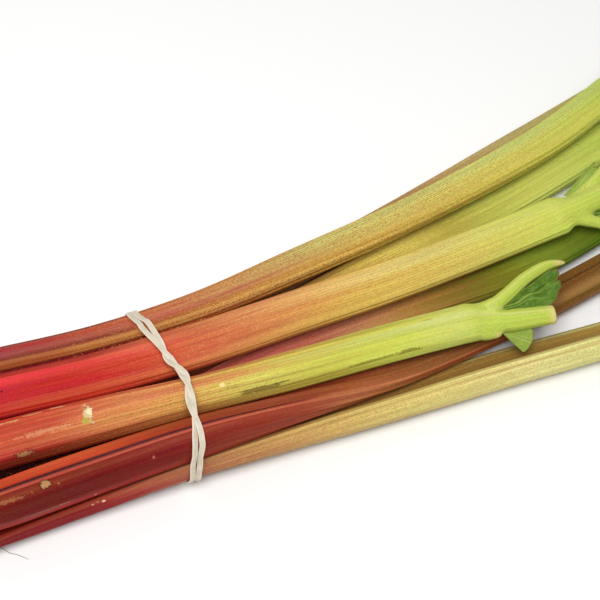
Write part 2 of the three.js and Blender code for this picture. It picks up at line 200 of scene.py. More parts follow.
def merge_shells(shells: Sequence[Shell]) -> Shell:
    """Puts several shells into one, side by side.

    Args:
        shells: The shells.

    Returns:
        One shell that holds them all.
    """
    faces: list[Face] = []
    first = 0
    for shell in shells:
        faces += [tuple(first + index for index in face) for face in shell.faces]
        first += len(shell.points)
    return Shell(
        np.vstack([shell.points for shell in shells]),
        faces,
        np.vstack([shell.grain for shell in shells]),
        np.concatenate([shell.wear for shell in shells]),
    )


def store(mesh: bpy.types.Mesh, name: str, values: np.ndarray) -> None:
    """Writes one number or vector for each point of a mesh.

    Args:
        mesh: The mesh to write to.
        name: The name of the attribute.
        values: One number or one vector for each point.
    """
    old = mesh.attributes.get(name)
    if old is not None:
        mesh.attributes.remove(old)
    vector = values.ndim == 2
    attribute = mesh.attributes.new(name, "FLOAT_VECTOR" if vector else "FLOAT", "POINT")
    attribute.data.foreach_set("vector" if vector else "value", values.astype(np.float32).ravel())


def grid_faces(rings: int, sides: int, closed: bool = False) -> list[Face]:
    """Joins rings of points, one after the other, with four-sided faces that look outwards.

    Args:
        rings: The number of rings.
        sides: The number of points in a ring.
        closed: Whether the last ring is joined to the first.

    Returns:
        The faces.
    """
    faces = []
    for ring in range(rings if closed else rings - 1):
        row, next_row = ring * sides, (ring + 1) % rings * sides
        for side in range(sides):
            after = (side + 1) % sides
            faces.append((row + side, row + after, next_row + after, next_row + side))
    return faces


def tube(
    rings: np.ndarray,
    grain: np.ndarray,
    wear: np.ndarray,
    hollows: tuple[float, float] = (0.0, 0.0),
    open_ends: tuple[bool, bool] = (True, True),
) -> Shell:
    """Closes a stack of rings into one solid, whose two ends are faces of nested rings.

    Args:
        rings: Points of the rings, as rings x sides x 3.
        grain: Grain of those points, in the same layout.
        wear: Wear of those points, as rings x sides.
        hollows: How far the middle of the first and of the last face is sunk, in millimetres.
        open_ends: Whether the first and the last face show open flesh, or skin like the rest.

    Returns:
        The solid.
    """
    shrink = np.array([0.94, 0.82, 0.64, 0.44, 0.22])
    count, sides = rings.shape[:2]

    def nested(
        edge: int, inner: int, hollow: float, is_open: bool
    ) -> tuple[np.ndarray, np.ndarray, np.ndarray]:
        """Rings that fill one end, from the rim inwards, with their grain and wear."""
        middle = rings[edge].mean(axis=0)
        inwards = rings[inner].mean(axis=0) - middle
        inwards /= np.linalg.norm(inwards)
        sink = (1 - shrink**2)[:, None, None] * hollow * inwards
        places = middle + (rings[edge] - middle) * shrink[:, None, None] + sink
        scaled = np.repeat(grain[edge][None], len(shrink), axis=0).copy()
        if is_open:
            scaled[:, :, 1:] *= shrink[:, None, None]
        worn = np.repeat(wear[edge][None], len(shrink), axis=0) * (shrink[:, None] > 0.9)
        return places, scaled, worn

    start, start_grain, start_wear = nested(0, min(3, count - 1), hollows[0], open_ends[0])
    end, end_grain, end_wear = nested(count - 1, max(0, count - 4), hollows[1], open_ends[1])
    rows = np.concatenate([start[::-1], rings, end])
    row_grain = np.concatenate([start_grain[::-1], grain, end_grain])
    row_wear = np.concatenate([start_wear[::-1], wear, end_wear])
    total = len(rows)
    faces = grid_faces(total, sides)
    first, last = total * sides, total * sides + 1
    for side in range(sides):
        after = (side + 1) % sides
        faces.append((first, after, side))
        faces.append((last, (total - 1) * sides + side, (total - 1) * sides + after))
    points = np.vstack([rows.reshape(-1, 3), rows[0].mean(axis=0), rows[-1].mean(axis=0)])
    middles = [
        row_grain[edge].mean(axis=0) if is_open else row_grain[edge][0]
        for edge, is_open in zip((0, -1), open_ends)
    ]
    grains = np.vstack([row_grain.reshape(-1, 3), *middles])
    return Shell(points, faces, grains, np.append(row_wear.ravel(), [0.0, 0.0]))


def axes_of(slopes: np.ndarray) -> tuple[np.ndarray, np.ndarray, np.ndarray]:
    """Level axes along a path.

    Args:
        slopes: Directions of the path.

    Returns:
        Unit vectors along the path, to its side (level) and up from it.
    """
    along = slopes / np.linalg.norm(slopes, axis=1, keepdims=True)
    side = np.cross([0.0, 0.0, 1.0], along)
    side /= np.linalg.norm(side, axis=1, keepdims=True)
    return along, side, np.cross(along, side)


def ring_points(
    middles: np.ndarray, slopes: np.ndarray, sideways: np.ndarray, upwards: np.ndarray
) -> np.ndarray:
    """Points of rings that stand across a path.

    Args:
        middles: The middles of the rings.
        slopes: Directions of the path there, in their first three columns.
        sideways: How far each point lies to the side of its middle.
        upwards: How far it lies above it.

    Returns:
        The points, as rings x sides x 3.
    """
    _, side, up = axes_of(slopes[:, :3])
    sideways, upwards = sideways[..., None], upwards[..., None]
    return middles[:, None] + side[:, None] * sideways + up[:, None] * upwards


def grain_at(along: np.ndarray, across: np.ndarray, height: np.ndarray) -> np.ndarray:
    """Stacks places along, across and up from the middle, each for every point, into the grain."""
    return np.stack(np.broadcast_arrays(along, across, height), axis=-1)


def run_length(points: np.ndarray) -> np.ndarray:
    """The way from the first point to each point of a line."""
    return np.concatenate([[0], np.cumsum(np.linalg.norm(np.diff(points, axis=0), axis=1))])


def new_piece(name: str, mesh: bpy.types.Mesh, material: bpy.types.Material) -> bpy.types.Object:
    """Puts a mesh with one material into the scene.

    Args:
        name: The name of the piece.
        mesh: Its mesh.
        material: Its material.

    Returns:
        The new object.
    """
    piece = bpy.data.objects.new(name, mesh)
    mesh.materials.clear()
    mesh.materials.append(material)
    bpy.context.scene.collection.objects.link(piece)
    return piece


# ---- finishes ------------------------------------------------------------------------------------
def add(
    tree: Tree, kind: str, inputs: dict[str | int, Any] | Sequence[Any] = (), **settings: Any
) -> Node:
    """Adds one node with its settings, values and links.

    Args:
        tree: The tree to add it to.
        kind: The node's type name, without its "ShaderNode".
        inputs: For each socket, by name or index or in their order, its value, a hex colour, the
            socket that feeds it, or the node whose first live output feeds it.
        **settings: The node's own properties.

    Returns:
        The new node.
    """
    node = tree.nodes.new(f"ShaderNode{kind}")
    for name, value in settings.items():
        setattr(node, name, value)
    for socket, value in inputs.items() if isinstance(inputs, dict) else enumerate(inputs):
        if isinstance(value, Node):
            value = next(output for output in value.outputs if output.enabled)
        if isinstance(value, Socket):
            tree.links.new(value, node.inputs[socket])
        else:
            node.inputs[socket].default_value = linear(value) if isinstance(value, str) else value
    return node


def new_material(name: str) -> tuple[bpy.types.Material, Tree]:
    """Makes an empty node material.

    Args:
        name: The name of the material.

    Returns:
        The material and its node tree.
    """
    material = bpy.data.materials.new(name)
    material.use_nodes = True
    material.node_tree.nodes.clear()
    return material, material.node_tree


@dataclass(frozen=True)
class Stripe:
    """A lengthwise stripe of skin: the edge of a ridge, the flat face, a blush on one flank; some are
    painted shade and painted highlights.

    Places round a stalk are in degrees: 90 is the middle of the flat face, -90 the middle of the
    round side, 0 and 180 the two shoulders. The width is half a stripe's, in millimetres.
    """

    around: float
    width: float
    softness: float
    stops: Stops


@dataclass(frozen=True)
class Mark:
    """One scar, scab, rub or bruise at a place on the skin, with its size in millimetres; a few are
    painted sheen.
    """

    mm: float
    around: float
    length: float
    width: float
    colour: str
    cover: float
    raggedness: float
    rim: str = ""


class Weave(Enum):
    """Which flecks lie on the skin: the red pigment cells, or the pale ones between them."""

    RED = "#963616"
    PALE = "#e6cf7c"


SKIN_RADIUS = 11.0  # mean radius of a stalk, which turns places round it into millimetres
RIB_SPACING = 1.5  # of the finest ribs, real ones are a little closer than the render can show
STREAK_REACH = 60.0  # how far the pigment runs on along single ribs
SKIN_ROUGHNESS = 0.34
CUT_FLESH = ("#dfd6a4", "#b9b56a")  # between the strings, and along them
PULLED_FLESH = ("#f0d8c6", "#dc9c8c")
BLANCHED_SKIN = "#e9b9ab"
STRAW = "#d2c676"  # skin that has begun to dry, beside a cut
DRIED_RIM = "#8a6430"
FLECK_SIZES = {Weave.RED: (1.15, 0.6), Weave.PALE: (1.25, 0.55)}  # length and width
FLECK_ON_RIB = {Weave.RED: 0.15, Weave.PALE: -0.04}  # pull of the flecks to the crests of the ribs


@dataclass(frozen=True)
class StalkSkin:
    """Fresh rhubarb skin: a thin waxy skin over wet flesh, grown in lengthwise ribs.

    The eye gets a soft gloss that breaks up along the ribs, red pigment that thins out in streaks
    and then in rows of flecks from the heel to the leaf, and pale wet flesh where it is cut.
    """

    ground: Stops
    red_flecks: Density
    pale_flecks: Density
    stripes: tuple[Stripe, ...] = ()
    marks: tuple[Mark, ...] = ()
    blanched: float = 25.0  # how far the pale heel reaches

    def dress(self, name: str, length: float) -> bpy.types.Material:
        """Builds the node material of a stalk of the given length."""
        return SkinPainter(self, name, length).paint()


class SkinPainter:
    """Paints the skin of one stalk, layer by layer."""

    def __init__(self, skin: StalkSkin, name: str, length: float) -> None:
        """Starts the material with the patterns that its layers share.

        Args:
            skin: What the skin is like.
            name: The name of the material.
            length: The length of the stalk.
        """
        self.skin, self.length = skin, length
        self.material, tree = new_material(name)
        self.add = partial(add, tree)
        self.grain = self.add("Attribute", attribute_name="grain").outputs["Vector"]
        self.wear = self.add("Attribute", attribute_name="wear").outputs["Fac"]
        self.along, across, up = self.add("SeparateXYZ", [self.grain]).outputs
        self.share = self.add("Math", (self.along, length), operation="DIVIDE")
        self.broad = self._grown(150.0, 7.0)
        self.streaks = self._grown(60.0, 1.3)
        self.fine = self._grown(3.2, 0.5, detail=2.0)
        self.mottle = self._grown(5.0, 2.6)
        self.crumbs = self._grown(1.3, 1.1)
        angle = self.add("Math", (up, across), operation="ARCTAN2")
        count = round(2 * math.pi * SKIN_RADIUS / RIB_SPACING)
        turns = self.add("Math", (angle, float(count)), operation="MULTIPLY")
        waves = self.add("Math", [turns], operation="COSINE")
        self.ribs = self._sum(0.5, (waves, 0.5))

    def _sum(self, base: Any, *terms: tuple[Node, float]) -> Node:
        """Adds values to a base, each times its weight.

        Args:
            base: A number or a node.
            *terms: The values, with their weights.

        Returns:
            The sum.
        """
        for value, weight in terms:
            base = self.add("Math", (value, weight, base), operation="MULTIPLY_ADD")
        return base

    def _grown(self, length: float, width: float, detail: float = 3.0) -> Node:
        """Noise around one half, drawn out along the ribs.

        Args:
            length: Length of its grain in millimetres.
            width: Width of its grain in millimetres.
            detail: How many finer layers it has.

        Returns:
            The noise.
        """
        scale = (1 / length, 1 / width, 1 / width)
        stretched = self.add("VectorMath", (self.grain, scale), operation="MULTIPLY")
        links = {"Vector": stretched, "Scale": 1.0, "Detail": detail, "Roughness": 0.6}
        return self.add("TexNoise", links)

    def _from_heel(self, share: Node, stops: Stops) -> Node:
        """Colours from the heel to the leaf end.

        Args:
            share: The place along the stalk, as a share of its length.
            stops: The colours, from the heel on.

        Returns:
            The ramp, whose alpha is the cover.
        """
        ramp = self.add("ValToRGB", [share])
        elements = ramp.color_ramp.elements
        for index, (mm, colour, *cover) in enumerate(stops):
            place = min(1.0, mm / self.length)
            element = elements[index] if index < 2 else elements.new(place)
            element.position = place
            element.color = linear(colour, *cover)
        return ramp

    def _near(self, centre: tuple[float, float], size: tuple[float, float]) -> Node:
        """Distance from a place on the skin, 1 at the given size.

        Args:
            centre: Distance from the heel, and degrees round the stalk.
            size: Reach along the stalk (0 for endless) and across it, in millimetres.

        Returns:
            The distance.
        """
        turn = math.radians(centre[1])
        middle = (centre[0], SKIN_RADIUS * math.cos(turn), SKIN_RADIUS * math.sin(turn))
        reach = (1 / size[0] if size[0] else 0.0, 1 / size[1], 1 / size[1])
        offset = self.add("VectorMath", (self.grain, middle), operation="SUBTRACT")
        scaled = self.add("VectorMath", (offset, reach), operation="MULTIPLY")
        return self.add("VectorMath", [scaled], operation="LENGTH")

    def _lay(
        self, under: Any, over: Any, value: Any, full: float, none: float, cover: Any = None
    ) -> Node:
        """Lays a colour over another where a value says so, with a soft edge.

        Args:
            under: The colour so far.
            over: The colour on top.
            value: What decides where the top colour lies.
            full: The value at which the top colour is whole.
            none: The value at which it has faded out.
            cover: How strongly it covers where it is whole, if not fully.

        Returns:
            The new colour.
        """
        mask = self.add("MapRange", (value, full, none, 1.0, 0.0), interpolation_type="SMOOTHSTEP")
        if cover is not None:
            mask = self.add("Math", (mask, cover), operation="MULTIPLY")
        return self.add("Mix", {0: mask, 6: under, 7: over}, data_type="RGBA")

    def _lay_stripe(self, colour: Node, stripe: Stripe, share: Node) -> Node:
        """Lays one lengthwise stripe on the skin, its edge frayed by the streaks.

        Args:
            colour: The skin so far.
            stripe: The stripe.
            share: The place along the stalk, where pigment runs on along single ribs.

        Returns:
            The skin with the stripe.
        """
        soft = stripe.softness
        distance = self._near((0.0, stripe.around), (0.0, stripe.width))
        frayed = self._sum(distance, (self.streaks, 0.5 * soft))
        ramp = self._from_heel(share, stripe.stops)
        full, none = 1.0 - 0.75 * soft, 1.0 + 0.25 * soft
        return self._lay(colour, ramp, frayed, full, none, ramp.outputs["Alpha"])

    def _shade_streaks(self, colour: Node) -> Node:
        """Darkens and lightens the skin in long streaks and in short fine ones.

        Args:
            colour: The skin so far.

        Returns:
            The shaded skin.
        """
        value = self._sum(0.44, (self.streaks, 0.68), (self.fine, 0.44))
        hue = self._sum(0.475, (self.broad, 0.05))
        return self.add("HueSaturation", {"Color": colour, "Value": value, "Hue": hue})

    def _lay_flecks(self, colour: Node, weave: Weave, density: Density) -> Node:
        """Lays rows of small flecks, a little over 1 mm long, as fine as the render shows.

        Args:
            colour: The skin so far.
            weave: Which flecks.
            density: Their cover, from the heel on.

        Returns:
            The skin with the flecks.
        """
        dots = self._grown(*FLECK_SIZES[weave], detail=1.0)
        rows = self._sum(dots, (self.ribs, FLECK_ON_RIB[weave]))
        ramp = self._from_heel(self.share, [(mm, weave.value, cover) for mm, cover in density])
        return self._lay(colour, weave.value, rows, 0.7, 0.56, ramp.outputs["Alpha"])

    def _lay_mark(self, colour: Node, mark: Mark) -> Node:
        """Lays one scar, scab, rub or painted sheen on the skin, with a crumbled edge.

        Args:
            colour: The skin so far.
            mark: The mark.

        Returns:
            The skin with the mark.
        """
        ragged = mark.raggedness
        distance = self._near((mark.mm, mark.around), (mark.length / 2, mark.width / 2))
        torn = self._sum(distance, (self.mottle, 2 * ragged), (self.crumbs, 2.8 * ragged))
        edge = 0.95 + 2.4 * ragged
        if mark.rim:
            colour = self._lay(colour, mark.rim, torn, edge, edge + 0.4, 0.8 * mark.cover)
        return self._lay(colour, mark.colour, torn, edge - 0.3, edge, mark.cover)

    def _open_flesh(self, colour: Node) -> tuple[Node, Node]:
        """Paints the cut and pulled end faces, their dried rims and the pink-white heel.

        Args:
            colour: The skin so far.

        Returns:
            The skin with its ends, and a mask of the open flesh.
        """
        soft = {"interpolation_type": "SMOOTHSTEP"}
        flat = self.add("VectorMath", (self.grain, (0.0, 1.0, 1.0)), operation="MULTIPLY")
        radius = self.add("VectorMath", [flat], operation="LENGTH")
        rim, middle = 0.975 * SKIN_RADIUS, 0.93 * SKIN_RADIUS
        flesh = self.add("MapRange", (radius, middle, rim, 1.0, 0.0), **soft)
        strings = self._grown(4.0, 1.1, detail=1.0)
        cut = self._lay(*CUT_FLESH, strings, 0.62, 0.5)
        pale, pink = PULLED_FLESH
        pulled = self.add("Mix", {0: self.mottle, 6: pale, 7: pink}, data_type="RGBA")
        face = self._lay(cut, pulled, self.along, 30.0, 60.0)
        uneven = self._sum(self.along, (self.mottle, 14.0))
        blanched = self.skin.blanched
        colour = self._lay(colour, BLANCHED_SKIN, uneven, 0.35 * blanched, blanched)
        colour = self.add("Mix", {0: flesh, 6: colour, 7: face}, data_type="RGBA")
        frayed = self._sum(self.wear, (self.mottle, -1.4), (strings, -0.9))
        near_end = self.add("MapRange", (self.wear, 0.12, 0.02, 1.0, 0.0), **soft)
        colour = self._lay(colour, STRAW, frayed, -0.3, -0.95, near_end)
        return self._lay(colour, DRIED_RIM, frayed, 0.12, -0.02), flesh

    def paint(self) -> bpy.types.Material:
        """Lays all the layers, from the ground colour to the open flesh.

        Returns:
            The material.
        """
        run = self._sum(-STREAK_REACH, (self.streaks, STREAK_REACH), (self.broad, STREAK_REACH))
        place = self.add("Math", (self.along, run), operation="ADD")
        share = self.add("Math", (place, self.length), operation="DIVIDE")
        colour = self._from_heel(share, self.skin.ground)
        for stripe in self.skin.stripes:
            colour = self._lay_stripe(colour, stripe, share)
        colour = self._shade_streaks(colour)
        colour = self._lay_flecks(colour, Weave.RED, self.skin.red_flecks)
        colour = self._lay_flecks(colour, Weave.PALE, self.skin.pale_flecks)
        for mark in self.skin.marks:
            colour = self._lay_mark(colour, mark)
        colour, flesh = self._open_flesh(colour)
        height = self._sum(0.0, (self.fine, 0.35), (self.ribs, 0.3), (self.streaks, 0.5))
        bump = self.add("Bump", {"Strength": 0.75, "Distance": 0.25 * MM, "Height": height})
        gloss = self._sum(SKIN_ROUGHNESS, (self.mottle, 0.16), (flesh, 0.12))
        shader = self.add("BsdfPrincipled", {
            "Base Color": colour,
            "Roughness": gloss,
            "Normal": bump,
            "IOR": 1.43,
            "Specular IOR Level": 0.13,
            "Subsurface Weight": 0.1,
            "Subsurface Radius": (1.0, 0.45, 0.25),
            "Subsurface Scale": 1.6 * MM,
        })
        self.add("OutputMaterial", [shader])
        return self.material


@dataclass(frozen=True)
class LeafBlade:
    """Torn rhubarb leaf: thin, quilted between pale veins, with a matt waxy face.

    The eye gets a dull sheen that follows the quilting, and pale raised veins on darker green.
    """

    name: str
    green: str
    deep: str
    vein: str
    dried: str = "#7d6a35"

    def dress(self) -> bpy.types.Material:
        """Builds the node material.

        Returns:
            The material.
        """
        material, tree = new_material(self.name)
        grain = add(tree, "Attribute", attribute_name="grain").outputs["Vector"]
        wear = add(tree, "Attribute", attribute_name="wear").outputs["Fac"]
        vein = add(tree, "SeparateXYZ", [grain]).outputs[2]
        # quilting 1.4 mm and blotches 6 mm across
        cells = add(tree, "TexVoronoi", {"Vector": grain, "Scale": 0.7}, feature="F1")
        blotch = add(tree, "TexNoise", {"Vector": grain, "Scale": 0.16, "Detail": 3.0})
        colour = add(tree, "Mix", {0: blotch, 6: self.deep, 7: self.green}, data_type="RGBA")
        shade = add(tree, "MapRange", (cells, 0.0, 1.0, 1.08, 0.86))
        colour = add(tree, "HueSaturation", {"Color": colour, "Value": shade})
        for share, over in ((vein, self.vein), (wear, self.dried)):
            colour = add(tree, "Mix", {0: share, 6: colour, 7: over}, data_type="RGBA")
        bump = add(tree, "Bump", {"Strength": 0.5, "Distance": 0.2 * MM, "Height": cells})
        shader = add(tree, "BsdfPrincipled", {
            "Base Color": colour,
            "Roughness": 0.5,
            "Normal": bump,
            "IOR": 1.42,
            "Specular IOR Level": 0.25,
            "Subsurface Weight": 0.15,
            "Subsurface Radius": (0.4, 1.0, 0.2),
            "Subsurface Scale": 0.8 * MM,
        })
        add(tree, "OutputMaterial", [shader])
        return material


@dataclass(frozen=True)
class NaturalRubber:
    """Undyed natural rubber, calendered into a sheet and cut into a flat band.

    The eye gets a dull, slightly translucent cream with faint lengthwise lines from the knife.
    """

    name: str = "natural_rubber_band"
    cream: str = "#e8dccb"
    shadow: str = "#aaa486"
    edge: str = "#f0dccd"

    def dress(self) -> bpy.types.Material:
        """Builds the node material.

        Returns:
            The material.
        """
        material, tree = new_material(self.name)
        grain = add(tree, "Attribute", attribute_name="grain").outputs["Vector"]
        knife_lines = (1 / 30, 1 / 0.5, 1 / 0.5)  # 30 mm long, coarse enough to show at 0.5 mm apart
        stretched = add(tree, "VectorMath", (grain, knife_lines), operation="MULTIPLY")
        lines = add(tree, "TexNoise", {"Vector": stretched, "Scale": 1.0, "Detail": 2.0})
        # and painted shade, in clouds 11 mm across
        cloud = add(tree, "TexNoise", {"Vector": grain, "Scale": 0.09, "Detail": 2.0})
        sheet = add(tree, "Mix", {0: cloud, 6: self.cream, 7: self.shadow}, data_type="RGBA")
        # the edges painted lighter: painted light where it shines through the thin rubber, the middle
        # left greyer
        across = add(tree, "SeparateXYZ", [grain]).outputs[1]
        from_middle = add(tree, "Math", [across], operation="ABSOLUTE")
        rim = add(tree, "MapRange", (from_middle, 0.9, 1.8, 0.0, 0.8))
        colour = add(tree, "Mix", {0: rim, 6: sheet, 7: self.edge}, data_type="RGBA")
        bump = add(tree, "Bump", {"Strength": 0.5, "Distance": 0.1 * MM, "Height": lines})
        shader = add(tree, "BsdfPrincipled", {
            "Base Color": colour,
            "Roughness": 0.58,
            "Normal": bump,
            "IOR": 1.52,
            "Subsurface Weight": 0.2,
            "Subsurface Radius": (1.0, 0.7, 0.5),
            "Subsurface Scale": 1.0 * MM,
        })
        add(tree, "OutputMaterial", [shader])
        return material


@dataclass(frozen=True)
class DriedSkin:
    """A thread of skin that tore off with the heel and dried: dull and grey-green."""

    name: str = "dried_rhubarb_skin"
    pale: str = "#bcc2ae"
    dark: str = "#8c9680"

    def dress(self) -> bpy.types.Material:
        """Builds the node material.

        Returns:
            The material.
        """
        material, tree = new_material(self.name)
        grain = add(tree, "Attribute", attribute_name="grain").outputs["Vector"]
        # blotches 1.7 mm across
        blotch = add(tree, "TexNoise", {"Vector": grain, "Scale": 0.6, "Detail": 2.0})
        colour = add(tree, "Mix", {0: blotch, 6: self.pale, 7: self.dark}, data_type="RGBA")
        shader = add(tree, "BsdfPrincipled", {"Base Color": colour, "Roughness": 0.65, "IOR": 1.43})
        add(tree, "OutputMaterial", [shader])
        return material


# ---- a stalk -------------------------------------------------------------------------------------
# veins of a scrap of leaf: start and bend as shares of its width, and strength
SIDE_VEINS = ((0.0, 0.0, 0.8), (0.3, 0.1, 0.5), (0.62, -0.08, 0.9), (1.0, 0.0, 0.8))
BRANCH_SPACING = 6.4  # of the finer veins between them


@dataclass(frozen=True)
class Scrap:
    """A torn scrap of leaf between four corners: two along one rib, then two along the other."""

    corners: Rows
    sag: float
    wave: float
    bulge: float = 0.0
    turned_over: bool = False
    thickness: float = 0.55
    quilt: float = 0.5
    torn: float = 1.0
    crumple: float = 0.0
    steps: tuple[int, int] = (64, 44)

    def shell(self) -> Shell:
        """Builds the blade with its veins and quilting, in the axes of the leaf end.

        Returns:
            The blade; its grain holds millimetres along and across it, and the vein mask.
        """
        long_steps, cross_steps = self.steps
        p, q = np.meshgrid(
            np.linspace(0, 1, long_steps + 1), np.linspace(0, 1, cross_steps + 1), indexing="ij"
        )
        a0, a1, b0, b1 = (np.array(corner, dtype=float) for corner in self.corners)
        normal = np.cross(a1 - a0, b0 - a0)
        normal /= np.linalg.norm(normal)
        tear = 0.09 * np.sin(7 * q + 1) + 0.05 * np.sin(17 * q) + 0.02 * np.sin(41 * q + 2)
        run = p * (1 + self.torn * tear + self.bulge * np.sin(np.pi * q))
        near = a0 + (a1 - a0) * run[..., None]
        far = b0 + (b1 - b0) * run[..., None]
        base = near + (far - near) * q[..., None]
        length = 0.5 * (np.linalg.norm(a1 - a0) + np.linalg.norm(b1 - b0))
        width = np.linalg.norm(far - near, axis=-1)
        vein, quilt = self._veins(run * length, q, width)
        middle = 4 * q * (1 - q)
        folds = np.sin(11 * run + 6 * q + 1.5 * np.sin(9 * q)) + 0.6 * np.sin(17 * q - 8 * run + 2)
        lift = middle * (self.sag * run + self.wave * np.sin(9 * run + 4 * q))
        lift = lift + self.quilt * quilt * np.sqrt(middle) - 0.25 * vein
        lift = lift + self.crumple * folds * np.sqrt(middle) * smooth(0.1, 0.5, run)
        thin = self.thickness * (0.45 + 0.55 * smooth(0.0, 0.06, 1 - p))
        top = base + normal * (lift + thin / 2)[..., None]
        bottom = base + normal * (lift - thin / 2 - 0.45 * vein)[..., None]
        grain = np.stack([run * length, q * width, vein], axis=-1)
        dry = smooth(0.955, 1.0, p) * (0.4 + 0.6 * (np.sin(23 * q + 1) > 0.1))
        rows = cross_steps + 1
        count = top.shape[0] * rows
        faces: list[Face] = []
        for i in range(long_steps):
            for j in range(cross_steps):
                a = i * rows + j
                b = a + rows
                faces.append((a, b, b + 1, a + 1))
                faces.append((count + a, count + a + 1, count + b + 1, count + b))
        rim = list(range(rows))
        rim += [(i + 1) * rows - 1 for i in range(1, long_steps + 1)]
        rim += [long_steps * rows + j for j in range(cross_steps - 1, -1, -1)]
        rim += [i * rows for i in range(long_steps - 1, 0, -1)]
        for here, after in zip(rim, rim[1:] + rim[:1]):
            faces.append((here, after, count + after, count + here))
        points = np.vstack([top.reshape(-1, 3), bottom.reshape(-1, 3)])
        grains = np.vstack([grain.reshape(-1, 3)] * 2)
        return Shell(points, faces, grains, np.concatenate([dry.ravel()] * 2))

    @staticmethod
    def _veins(along: np.ndarray, q: np.ndarray, width: np.ndarray) -> tuple[np.ndarray, np.ndarray]:
        """Side veins that fan out from the fork, with finer ones between them.

        Args:
            along: Millimetres from the fork.
            q: Shares across the blade.
            width: Its width in millimetres at each point.

        Returns:
            A mask of the veins, and the height of the quilting between them.
        """
        vein = np.zeros_like(q)
        nearest = np.full_like(q, 99.0)
        for start, bend, strength in SIDE_VEINS:
            line = start + bend * np.sin(along / 9)
            distance = np.abs(q - line) * width
            vein = np.maximum(vein, strength * gauss(distance, 0.45) * smooth(46.0, 20.0, along))
            nearest = np.minimum(nearest, distance)
        drift = 1.4 * np.sin(0.55 * along + 5 * q) + 0.9 * np.sin(1.3 * nearest + 9 * q)
        phase = (along - 1.1 * nearest + drift) / BRANCH_SPACING
        branch = np.abs(phase - np.round(phase)) * BRANCH_SPACING
        vein = np.maximum(vein, 0.35 * gauss(branch, 0.3) * smooth(0.2, 1.4, nearest))
        net = np.abs(np.sin(nearest * 1.7 + 0.8 * np.sin(along))) * 2.0
        vein = np.maximum(vein, 0.15 * gauss(net, 0.35) * smooth(0.5, 1.5, branch))
        quilt = smooth(0.0, 1.6, branch) * smooth(0.0, 1.8, nearest)
        return vein, quilt


@dataclass(frozen=True)
class LeafEnd:
    """The ribs of a leaf end, as rows of along, side, up and radius, and the leaf left on them."""

    ribs: tuple[Rows, ...]
    scraps: tuple[Scrap, ...]

    @classmethod
    def forked(
        cls, half: float, lengths: tuple[float, float, float], spread: float, left: float, right: float
    ) -> "LeafEnd":
        """The usual leaf end: a thick middle rib and two side ribs, cut short, with leaf between.

        Args:
            half: Half the width of the stalk.
            lengths: Lengths of the middle, left and right ribs.
            spread: Angle between the middle rib and a side rib, in radians.
            left: How much of the left rib the leaf reaches along.
            right: How much of the right rib.

        Returns:
            The leaf end.
        """
        middle = (
            (-16.0, 0.0, 0.0, 0.6 * half),
            (0.4 * lengths[0], 0.0, 0.6, 0.54 * half),
            (lengths[0], 0.0, 0.4, 0.45 * half),
        )
        arms = []
        webs = []
        for length, way, share in ((lengths[1], 1, left), (lengths[2], -1, right)):
            along, out, start = math.cos(spread), way * math.sin(spread), way * 0.3 * half
            arm = (
                (-14.0, start, 0.0, 0.42 * half),
                (0.35 * length * along, start + 0.5 * length * out, 1.0, 0.36 * half),
                (0.7 * length * along, start + 0.85 * length * out, 2.0, 0.31 * half),
                (length * along, start + 1.1 * length * out, 3.0, 0.24 * half),
            )
            tip = tuple(a + (b - a) * share for a, b in zip(arm[1][:2], arm[3][:2]))
            corners = (
                (-2.0, 0.0, 0.5),
                (share * lengths[0], 0.0, 0.5),
                (0.3 * arm[1][0], 0.6 * arm[1][1], 0.5),
                (*tip, 1 + 2 * share),
            )
            arms.append(arm)
            webs.append(Scrap(corners, sag=1.6, wave=0.9))
        return cls((middle, *arms), tuple(webs))


@dataclass(frozen=True)
class Route:
    """Where a stalk runs: rows of x, y, z, half width, depth and roll in degrees."""

    rows: Rows
    channel: float
    shoulder: float = 0.55

    def place(self, shell: Shell) -> Shell:
        """Moves a shell from the axes of the leaf end to the layout of the bunch.

        Args:
            shell: The shell.

        Returns:
            The same shell, moved.
        """
        middle, slope = Spline(self.rows).at(np.array([1.0]))
        axes = np.vstack(axes_of(slope[:, :3])).astype(np.float32)
        shell.points = shell.points @ axes + middle[0, :3].astype(np.float32)
        return shell


SMOOTHING_PASSES = 36  # over the creases between the parts of a stalk

# cross section of a stalk
SIDES = 144
RIB_COUNT = 12
RIB_HEIGHT = 0.26
FINE_RIB_HEIGHT = 0.1
RISE_SHARE = 0.5  # height of the flat face over the widest place, as a share of the depth
CHANNEL_HALF = 0.78  # half width of the channel in the flat face, as a share of the half width
HEEL_REACH = 24.0
HEEL_FLARE = 0.13
HEEL_FLATTEN = 0.3
HEEL_LIP = 7.0  # how far the rounded rim of the heel reaches, and its size at the very end
HEEL_LIP_SCALE = 0.6
NECK_REACH = 16.0
NECK_SPREAD = 0.05
NECK_CLOSE = 12.0  # the same at the neck, inside the ribs of the leaf
NECK_SCALE = 0.72
LIP_HEIGHT = 0.45  # how far the shoulders stand up beside the channel, as a share of its depth
RINGS = ((0.0, 20), (0.035, 176), (0.94, 36))  # where each run of rings starts, and their number


